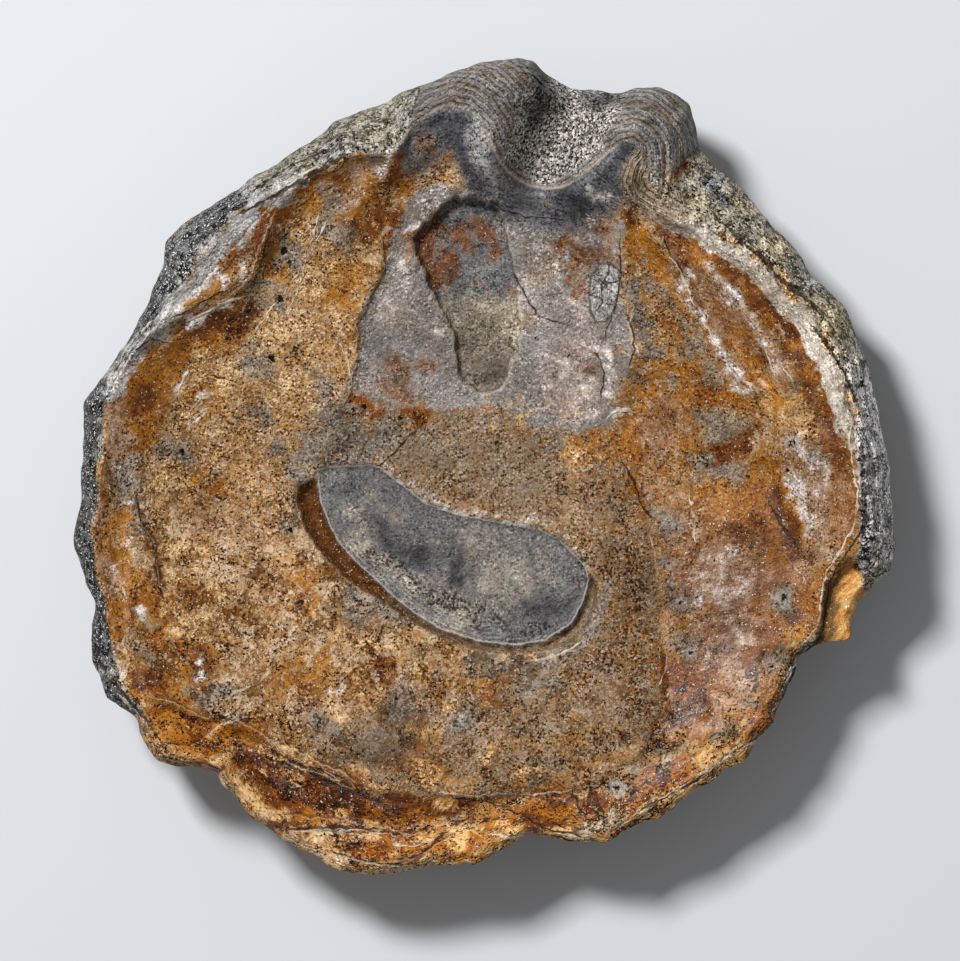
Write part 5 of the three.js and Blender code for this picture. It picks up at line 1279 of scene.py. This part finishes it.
keep_colour("ground", np.concatenate([colour, under]))
keep_colour("stained", np.concatenate([over_colour, under]))
keep("cover", cover)
seen = np.concatenate([lay(colour, over_colour, cover), under])
keep("warmth", np.clip(1.9 * (1 - seen[:, 2] / seen[:, 0]) - 0.05, 0, 1.3))
keep("satin", satin)
keep("grain", grain, 1)
char = between(0.35, 1, ease(stain["char"] + 0.5 * lumpy, 0.2, 1.0))
char = between(char, between(0.35, 1.05, crusted), outer)
char = char * (1 - 0.3 * leafy) * (1 - 0.8 * in_chip) * (1 - 0.6 * smooth) * (1 + 0.2 * in_scar)
keep("char", char)

# Distances from lines, edges and pores, for the material to draw them by.
uneven_x, uneven_y = x + 0.25 * lumpy, y + 0.25 * crumbly
swelling = 0.5 * mottled.clip(-1, 1)
keep("light_edge_and_glint", nearest_line(LIGHT_EDGES_AND_GLINTS, uneven_x, uneven_y) / (0.9 + swelling), FAR)
keep("dark_line", nearest_line(DARK_LINES, uneven_x, uneven_y) / (0.85 + swelling), FAR)
apart = np.array([np.hypot(x - px, y - py) / size for px, py, size, _ in PORES])
keep("pore", apart.min(axis=0), FAR)
keep("pore_ring", np.array(PORES)[apart.argmin(axis=0), 3])
keep("lip_line", from_lip, FAR)
leaf = np.full(len(x), 9.0)
for _, _, path in LEAF_EDGES:
    away, side = to_path(path, x, y)
    leaf = np.where(away < np.abs(leaf), away * side, leaf)
keep("leaf", leaf + 0.35 * rough(x, y, 3.5, 40, 3), FAR)
for name in ("scar", "groove", "hole", "nodule"):
    keep(name, into[name], -FAR)

# Where growth lines run and how strongly they, crust cells, flakes, dots and leaves show.
striae = between(from_lip, past_rim, ease(-into["ligament"], 0, 1))
keep("striae", np.where(in_curl > 0.3, from_curl * curl_side, striae), 1.3 * under_z)
off_ligament = outer * (1 - on_ligament)
striped = off_ligament * between(0.25, 0.6, grey_side)
striped = np.maximum(on_ligament * (1 - 0.85 * in_trough), striped)
striped = np.maximum(striped, 1.3 * in_curl)
keep("striped", np.maximum(striped * (1 - 0.8 * bands), 0.15 * left_band), 0.6)
pebbly = 0.12 * (1 - smooth) * (1 - in_scar) * (1 - in_chip) * (1 - 0.6 * satin) + 0.1 * smooth
bark = off_ligament * (1 - in_curl) * (1 - in_chip) * between(1.2, 0.8, grey_side)
for other in (0.6 * bark, 2.6 * (outer * crusted), 0.9 * on_ligament * in_trough):
    pebbly = np.maximum(pebbly, other)
keep("pebbly", (1 - 0.8 * bands) * pebbly)
lower_left = ease(-y - 0.3 * x, 8, 22)
flaky = between(1, 0.6, zone) * between(0.7, 1.7, lower_left) * (1 - 0.6 * smooth)
flaky = flaky * (1 - 0.35 * satin) * (1 - 0.8 * np.maximum(in_scar, sunk))
flaky = np.maximum(flaky, 1.2 * ease(stain["rust"], 0.2, 0.6))
keep("flaky", flaky * (1 - 0.5 * outer) * (1 - on_ligament) * (1 - in_curl), 0.7)
dotty = between(between(1, 0.5, lower_left), between(0.9, 0.4, above_scar), zone)
dotty = between(between(dotty, 0.6, satin), 0.2, smooth) * (1 - 0.5 * sunk) * (1 - 0.7 * in_chip)
keep("dotty", dotty * (1 - outer) * (1 - on_ligament) * (1 - 0.5 * leafy))
keep("leafy", leafy * (1 - in_chip), 0.6)
keep("ringed", ease(-y, 7, 12) * ease(-x, -8, 0) * np.clip(0.7 + 0.6 * lumpy, 0, 1.2))
upper_rim = between(0.3, 1, ease(y - 0.25 * x, -14, -8) * ease(x, -18, -13))
keep("frosted", np.clip(0.5 + 0.5 * lumpy, 0.15, 0.9) * upper_rim)
keep("shown", np.clip(0.55 + 0.8 * rough(x, y, 6, 390, 3), 0, 1))


def keep_place(name, values):
    """Stores a place for each of the valve's points, for a texture to be read at."""
    kept = valve_mesh.attributes.new(name, "FLOAT_VECTOR", "POINT")
    kept.data.foreach_set("vector", values.astype(np.float32).ravel())


turn = np.radians(angle_of(points[:, 0], points[:, 1]))


def round_shell(spread, outwards):
    """A place on a round wall of radius spread, at each point's turn, and as high as outwards."""
    return np.stack([spread * np.cos(turn), spread * np.sin(turn), outwards], axis=-1)


# Where the cells of the crust lie: finer inside, and past the rim drawn out along the rim.
beyond = np.hypot(points[:, 0], points[:, 1])
on_top = np.arange(len(points)) < len(x)
down = np.where(on_top, beyond - points[:, 2], beyond + points[:, 2])
on_crust = np.concatenate([(outer > 0.5) & (on_ligament < 0.5), np.ones(len(under), bool)])[:, None]
in_sand = np.concatenate([on_ligament > 0.5, np.zeros(len(under), bool)])[:, None]
inside_cells = points / np.where(in_sand, 0.3, 0.4)
keep_place("cell_place", np.where(on_crust, round_shell(52, 0.4 * down), inside_cells))
# Where growth's streaks lie, drawn out along the lines of growth, which follow the rim.
growth = 80 * share_out(points[:, 0], points[:, 1], crest_radius)
keep_place("growth_place", round_shell(10, growth))
# Where flakes lie: as wide as long on the inner layer, and drawn out along growth on the leaves.
on_leaves = np.concatenate([into["layer"] < 0, np.ones(len(under), bool)])[:, None]
keep_place("flake_place", np.where(on_leaves, round_shell(20, 0.56 * growth), points))

# ---- Fossil valve: its material ----
# The stained colours under what is finer than a millimetre: grain, black specks, growth lines,
# cracks, pale broken edges and painted glints, painted shadows below leaves' edges and inside the
# hole's rim, and pores, which are raised or sunk a little too.
FINE_COLOURS = {
    "grey speck": (40, 37, 34), "brown speck": (58, 33, 12), "white grain": (224, 223, 221),
    "cream grain": (230, 208, 176), "light line": (218, 202, 182), "dark line": (40, 26, 16),
    "leaf edge": (214, 192, 160), "below leaf": (52, 28, 10), "lip edge": (200, 186, 162),
    "scar rim": (200, 197, 192), "hole rim": (206, 194, 170), "hole wall": (34, 28, 22),
    "groove wall": (48, 30, 14), "nodule rim": (60, 50, 42), "pore ring": (186, 182, 178),
    "pore": (24, 19, 16),
}
material = bpy.data.materials.new("fossil_calcite")
material.use_nodes = True
tree = material.node_tree
principled = tree.nodes["Principled BSDF"]


def add(kind, inputs=None, **settings):
    """A shader node with its settings made and its inputs set or wired."""
    made = tree.nodes.new(kind)
    for name, value in settings.items():
        setattr(made, name, value)
    for name, value in (inputs or {}).items():
        if isinstance(value, bpy.types.NodeSocket):
            tree.links.new(value, made.inputs[name])
        else:
            made.inputs[name].default_value = value
    return made


def calc(operation, a, b=0.0, c=0.0):
    """Result of one of Blender's sums on up to three values."""
    return add("ShaderNodeMath", {0: a, 1: b, 2: c}, operation=operation).outputs[0]


def times(a, b):
    """a times b."""
    return calc("MULTIPLY", a, b)


def times_plus(a, b, c):
    """a times b, plus c."""
    return calc("MULTIPLY_ADD", a, b, c)


def greater(a, b):
    """The greater of a and b."""
    return calc("MAXIMUM", a, b)


def rise(value, low, high):
    """0 up to low, 1 from high on, eased between, or falling where high is under low."""
    inputs = {"Value": value, "From Min": low, "From Max": high}
    return add("ShaderNodeMapRange", inputs, interpolation_type="SMOOTHSTEP").outputs[0]


def strip(value, start, full_from, full_to, end):
    """1 from full_from to full_to, eased down to 0 at start and at end."""
    return times(rise(value, start, full_from), rise(value, end, full_to))


def screen(name):
    """The light that a named colour stands for: each channel's share of 255, to the power 2.2."""
    return tuple((channel / 255) ** 2.2 for channel in FINE_COLOURS[name]) + (1,)


def over(under, tint, mask):
    """Colour laid over another by a mask."""
    return add("ShaderNodeMix", {0: mask, 6: under, 7: tint}, data_type="RGBA").outputs[2]


def read(name, socket="Fac"):
    """What is kept under a name for the valve's points."""
    return add("ShaderNodeAttribute", attribute_name=name).outputs[socket]


def chances(colour):
    """Three separate chances from 0 to 1, X, Y and Z, from the random colour of a cell."""
    return add("ShaderNodeSeparateXYZ", {"Vector": colour}).outputs


def noise(where, scale, detail, roughness):
    """Blender's smooth noise at a place."""
    inputs = {"Vector": where, "Scale": scale, "Detail": detail, "Roughness": roughness}
    return add("ShaderNodeTexNoise", inputs).outputs


place = add("ShaderNodeTexCoord").outputs["Object"]


def cloud(size, detail):
    """Noise about 0, mostly within -1 to 1, with lumps of a size in millimetres."""
    return times_plus(noise(place, 1 / (size * MM), detail, 0.6)["Fac"], 5, -2.5)


coarse = cloud(0.9, 2)
fine = cloud(0.3, 1)
sand = add("ShaderNodeTexVoronoi", {"Vector": place, "Scale": 1 / (0.3 * MM)})
chance = times_plus(chances(sand.outputs["Color"])["X"], 2, -1)
clumped = rise(times_plus(coarse, 0.5, cloud(4, 3)), -1.3, 1.5)
in_grain = rise(sand.outputs["Distance"], 0.8, 0.4)
sand = times(times(calc("POWER", chance, 3), times(clumped, 1.6)), in_grain)

# Flakes peeled off, each of its own shade, roughness and stain, with a dark edge here and there.
flaky = read("flaky")
flake_place = read("flake_place", "Vector")
wander = noise(flake_place, 0.9, 3.0, 0.5)["Color"]


def flakes(size, reach):
    """A random colour for each flake of a size in millimetres, on a ragged outline."""
    inputs = {0: wander, 1: (reach,) * 3, 2: flake_place}
    ragged = add("ShaderNodeVectorMath", inputs, operation="MULTIPLY_ADD").outputs[0]
    return add("ShaderNodeTexVoronoi", {"Vector": ragged, "Scale": 1 / size}).outputs["Color"]


flake = chances(over(flakes(2.2, 4), flakes(0.8, 2), 0.45))
tint, shade, rough_flake = (times(times_plus(flake[i], 2.6, -1.3), flaky) for i in range(3))
leafy = read("leafy")
height = noise(flake_place, 1 / 3.5, 4.0, 0.6)["Fac"]
height = calc("FRACT", times(height, times_plus(leafy, 7, 6)))
flake_edge = times(times(rise(height, 0.14, 0.02), rise(coarse, -0.2, 0.5)), flaky)
leaf_line = calc("SUBTRACT", strip(height, 0.15, 0.25, 0.3, 0.6), times(rise(height, 0.22, 0.04), 1.8))

# Cells of crust, and single dark and light dots where it is thin.
cells = add("ShaderNodeTexVoronoi", {"Vector": read("cell_place", "Vector"), "Scale": 1.0})
of_cell = chances(cells.outputs["Color"])
dotty = times(read("dotty"), rise(cells.outputs["Distance"], 0.75, 0.45))
charred = greater(calc("ADD", read("char"), -0.4), 0)
dark_dot = times(rise(times_plus(charred, 0.65, of_cell["Y"]), 0.84, 0.9), dotty)
dark_dot = times(dark_dot, times_plus(charred, 3.4, times(rise(clumped, 0.4, 0.9), 0.4)))
light_dot = times(rise(of_cell["Z"], 0.86, 0.92), dotty)
pebbly = read("pebbly")
pebble = times_plus(of_cell["X"], 2.6, -1.3)
pebble = times_plus(rise(cells.outputs["Distance"], 0.4, 0.75), -1.4, pebble)

# Stains lie broken over the ground, along the grain.
streak = noise(read("growth_place", "Vector"), 1 / 0.9, 3.0, 0.65)["Fac"]
streak = times(times_plus(streak, 5, -2.5), times_plus(read("satin"), 0.6, 0.3))
spread = times_plus(coarse, 0.22, times_plus(fine, 0.08, read("cover")))
spread = times_plus(tint, 0.3, times_plus(streak, 0.3, spread))
colour = over(read("ground", "Color"), read("stained", "Color"), rise(spread, 0.28, 0.7))

# What darkens and lightens the colour, in powers of two: crust, grain, streaks and flakes.
grit = times_plus(sand, 2.8, times_plus(fine, 0.65, times(coarse, 0.4)))
grit = greater(times(grit, times_plus(calc("ABSOLUTE", grit), 0.9, 0.35)), -0.85)
grain = times(read("grain"), greater(times_plus(rough_flake, 0.8, 1), 0.2))
power = times_plus(pebble, times(pebbly, 1.1), times(grain, times(grit, 2.35)))
power = times_plus(chance, times(pebbly, 0.5), power)
power = times_plus(streak, 0.9, times_plus(shade, 0.8, power))
# Lines of growth outside, in the scar, and at the ends of leaves.
striae = times_plus(read("striae"), 7.2, times(cloud(5, 3), 2.2))
striae = calc("ADD", calc("SINE", striae), times(calc("SINE", times_plus(striae, 2.3, coarse)), 0.6))
striped = read("striped")
power = times_plus(times(striae, striped), 0.55, power)
scar = read("scar")
scar_line = calc("SINE", times_plus(scar, 11, times(coarse, 0.9)))
ringed = times_plus(times(rise(scar, 3.2, 1.2), read("ringed")), 0.55, 0.03)
power = times_plus(times(scar_line, rise(scar, 0, 0.3)), ringed, power)
power = times_plus(times(leaf_line, leafy), 1.15, times_plus(times(shade, leafy), 1.2, power))
power = calc("MINIMUM", times_plus(flake_edge, -0.8, power), 1.5)
power = times_plus(dark_dot, -1.6, times_plus(light_dot, 0.7, power))
# It darkens more than it lightens, and where the surface is warm, the dark is browner.
power = times_plus(times(power, power), -0.25, calc("ADD", power, 0.12))
warmth = read("warmth")
channels = {
    axis: calc("POWER", 2, times(power, times_plus(warmth, more, 1)))
    for axis, more in (("X", -0.26), ("Y", 0.03), ("Z", 0.55))
}
brightness = add("ShaderNodeCombineXYZ", channels).outputs[0]
colour = add("ShaderNodeVectorMath", {0: colour, 1: brightness}, operation="MULTIPLY").outputs[0]

# Black specks, thickest where char is strong, and pale specks.
speck = times_plus(read("char"), 0.8, times_plus(coarse, 0.6, times(fine, 1.1)))
speck_colour = over(screen("grey speck"), screen("brown speck"), warmth)
colour = over(colour, speck_colour, times(rise(speck, 0.95, 1.2), 0.6))
pale = times_plus(coarse, -0.4, times_plus(fine, -0.9, times(pebbly, 0.1)))
pale = times(rise(pale, 0.8, 1.05), greater(times(warmth, 0.6), times(pebbly, 0.4)))
colour = over(colour, over(screen("white grain"), screen("cream grain"), warmth), pale)

# Broken edges: light and dark lines, the light ones partly painted glints, the edges of leaves
# with a painted shadow below them, and the lip.
shown = read("shown")
# Light lines: pale broken edges, and painted glints on the ridges at the right.
light_edge_and_glint = calc("ABSOLUTE", read("light_edge_and_glint"))
light = rise(times_plus(coarse, 1.1, light_edge_and_glint), 1.4, 0.6)
colour = over(colour, screen("light line"), times(light, times(shown, 0.9)))
dark_line = calc("ABSOLUTE", read("dark_line"))
dark = rise(times_plus(coarse, 1.0, dark_line), 1.5, 0.6)
colour = over(colour, screen("dark line"), times(dark, 0.85))
leaf = times_plus(coarse, 0.2, read("leaf"))
colour = over(colour, screen("leaf edge"), times(strip(leaf, 0, 0.1, 0.15, 0.3), times(shown, 0.5)))
# Painted shadow: a dark brown line just below each leaf's broken edge.
painted_shadow_below_leaf = strip(leaf, -0.6, -0.1, -0.1, 0.05)
colour = over(colour, screen("below leaf"), times(painted_shadow_below_leaf, times_plus(shown, -0.4, 0.75)))
near_lip = calc("ABSOLUTE", calc("ADD", read("lip_line"), 0.05))
lip_edge = rise(times_plus(fine, 0.1, near_lip), 0.28, 0.05)
colour = over(colour, screen("lip edge"), times(lip_edge, times(shown, 0.55)))

# The rims of scar, hole, groove and nodule, with a painted shadow just inside the hole's rim.
scar_rim = times_plus(coarse, 0.08, scar)
frosted = read("frosted")
broad = times(greater(calc("ADD", frosted, -0.4), 0), times_plus(coarse, 0.8, 1.3))
white_rim = times(rise(calc("ADD", broad, scar_rim), -0.2, 0), rise(scar_rim, 0.18, 0.02))
colour = over(colour, screen("scar rim"), times(white_rim, greater(frosted, 0.45)))
hole = times_plus(coarse, 0.08, read("hole"))
hole_rim = times(strip(hole, -0.5, -0.25, -0.12, 0), times(shown, 0.4))
colour = over(colour, screen("hole rim"), hole_rim)
# Painted shadow: a dark band on the hole's wall, just inside its outline.
colour = over(colour, screen("hole wall"), times(strip(hole, -0.12, 0.02, 0.12, 0.4), 0.25))
groove_dark = times(strip(read("groove"), -0.2, 0.05, 0.2, 0.6), rise(scar, 0, -0.4))
colour = over(colour, screen("groove wall"), times(groove_dark, 0.4))
nodule_rim = strip(read("nodule"), -0.35, -0.05, 0.05, 0.25)
colour = over(colour, screen("nodule rim"), times(nodule_rim, 0.7))

# Pores, and the ring of pale calcite round some of them.
round_pore = read("pore")
pore = times_plus(coarse, 0.9, round_pore)
ring = times(rise(times_plus(coarse, 1.2, pore), 4, 2), rise(pore, 1, 1.6))
ring = times(times(ring, read("pore_ring")), times_plus(fine, 0.25, 0.4))
colour = over(colour, screen("pore ring"), ring)
colour = over(colour, screen("pore"), rise(pore, 1.25, 0.7))
tree.links.new(colour, principled.inputs["Base Color"])

# Satin where polished, dull elsewhere.
satin = read("satin")
shine = times_plus(satin, -0.38, times_plus(fine, 0.05, 0.74))
tree.links.new(shine, principled.inputs["Roughness"])
tree.links.new(times_plus(satin, 0.3, 0.15), principled.inputs["Specular IOR Level"])

# Fine relief, in millimetres: grain, growth lines, raised light lines, sunk dark ones, and pores.
relief = times(noise(place, 1 / (0.5 * MM), 3.0, 0.65)["Fac"], 0.36)
relief = times(relief, times_plus(satin, -0.8, 1))
relief = times_plus(striae, times(striped, 0.06), relief)
relief = times_plus(rise(light_edge_and_glint, 1.5, 0.5), 0.1, relief)
relief = times_plus(rise(dark_line, 1.5, 0.5), -0.15, relief)
relief = times_plus(rise(round_pore, 1.3, 0.6), -0.35, relief)
bump = add("ShaderNodeBump", {"Height": relief, "Strength": 1.0, "Distance": MM})
tree.links.new(bump.outputs["Normal"], principled.inputs["Normal"])
valve_mesh.materials.append(material)

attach(valve, "root")
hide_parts("oyster_valve")

# ---- Floor and lights ----
# A pale matt table, one large soft lamp from the upper left, and a pale surround that fills.
FLOOR_COLOUR = (0.6, 0.62, 0.65, 1)
LAMP_PLACE = (-0.48, 0.54, 0.92)
LAMP_WIDTH = 0.22
LAMP_WATTS = 17
SURROUND_STRENGTH = 0.24
floor_mesh = bpy.data.meshes.new("floor")
floor_mesh.from_pydata([(-1, -1, 0), (1, -1, 0), (1, 1, 0), (-1, 1, 0)], [], [(0, 1, 2, 3)])
floor = bpy.data.objects.new("floor", floor_mesh)
bpy.context.scene.collection.objects.link(floor)
floor_paint = bpy.data.materials.new("floor_paint")
floor_paint.use_nodes = True
floor_shader = floor_paint.node_tree.nodes["Principled BSDF"]
floor_shader.inputs["Base Color"].default_value = FLOOR_COLOUR
floor_shader.inputs["Roughness"].default_value = 0.9
floor_mesh.materials.append(floor_paint)

lamp_data = bpy.data.lights.new("lamp", "AREA")
lamp_data.size = LAMP_WIDTH
lamp_data.energy = LAMP_WATTS
lamp = bpy.data.objects.new("lamp", lamp_data)
lamp.location = LAMP_PLACE
lamp.rotation_euler = lamp.location.to_track_quat("Z", "Y").to_euler()
bpy.context.scene.collection.objects.link(lamp)

world = bpy.data.worlds.new("surround")
world.use_nodes = True
surround_shader = world.node_tree.nodes["Background"]
surround_shader.inputs["Color"].default_value = (1, 1, 1, 1)
surround_shader.inputs["Strength"].default_value = SURROUND_STRENGTH
bpy.context.scene.world = world
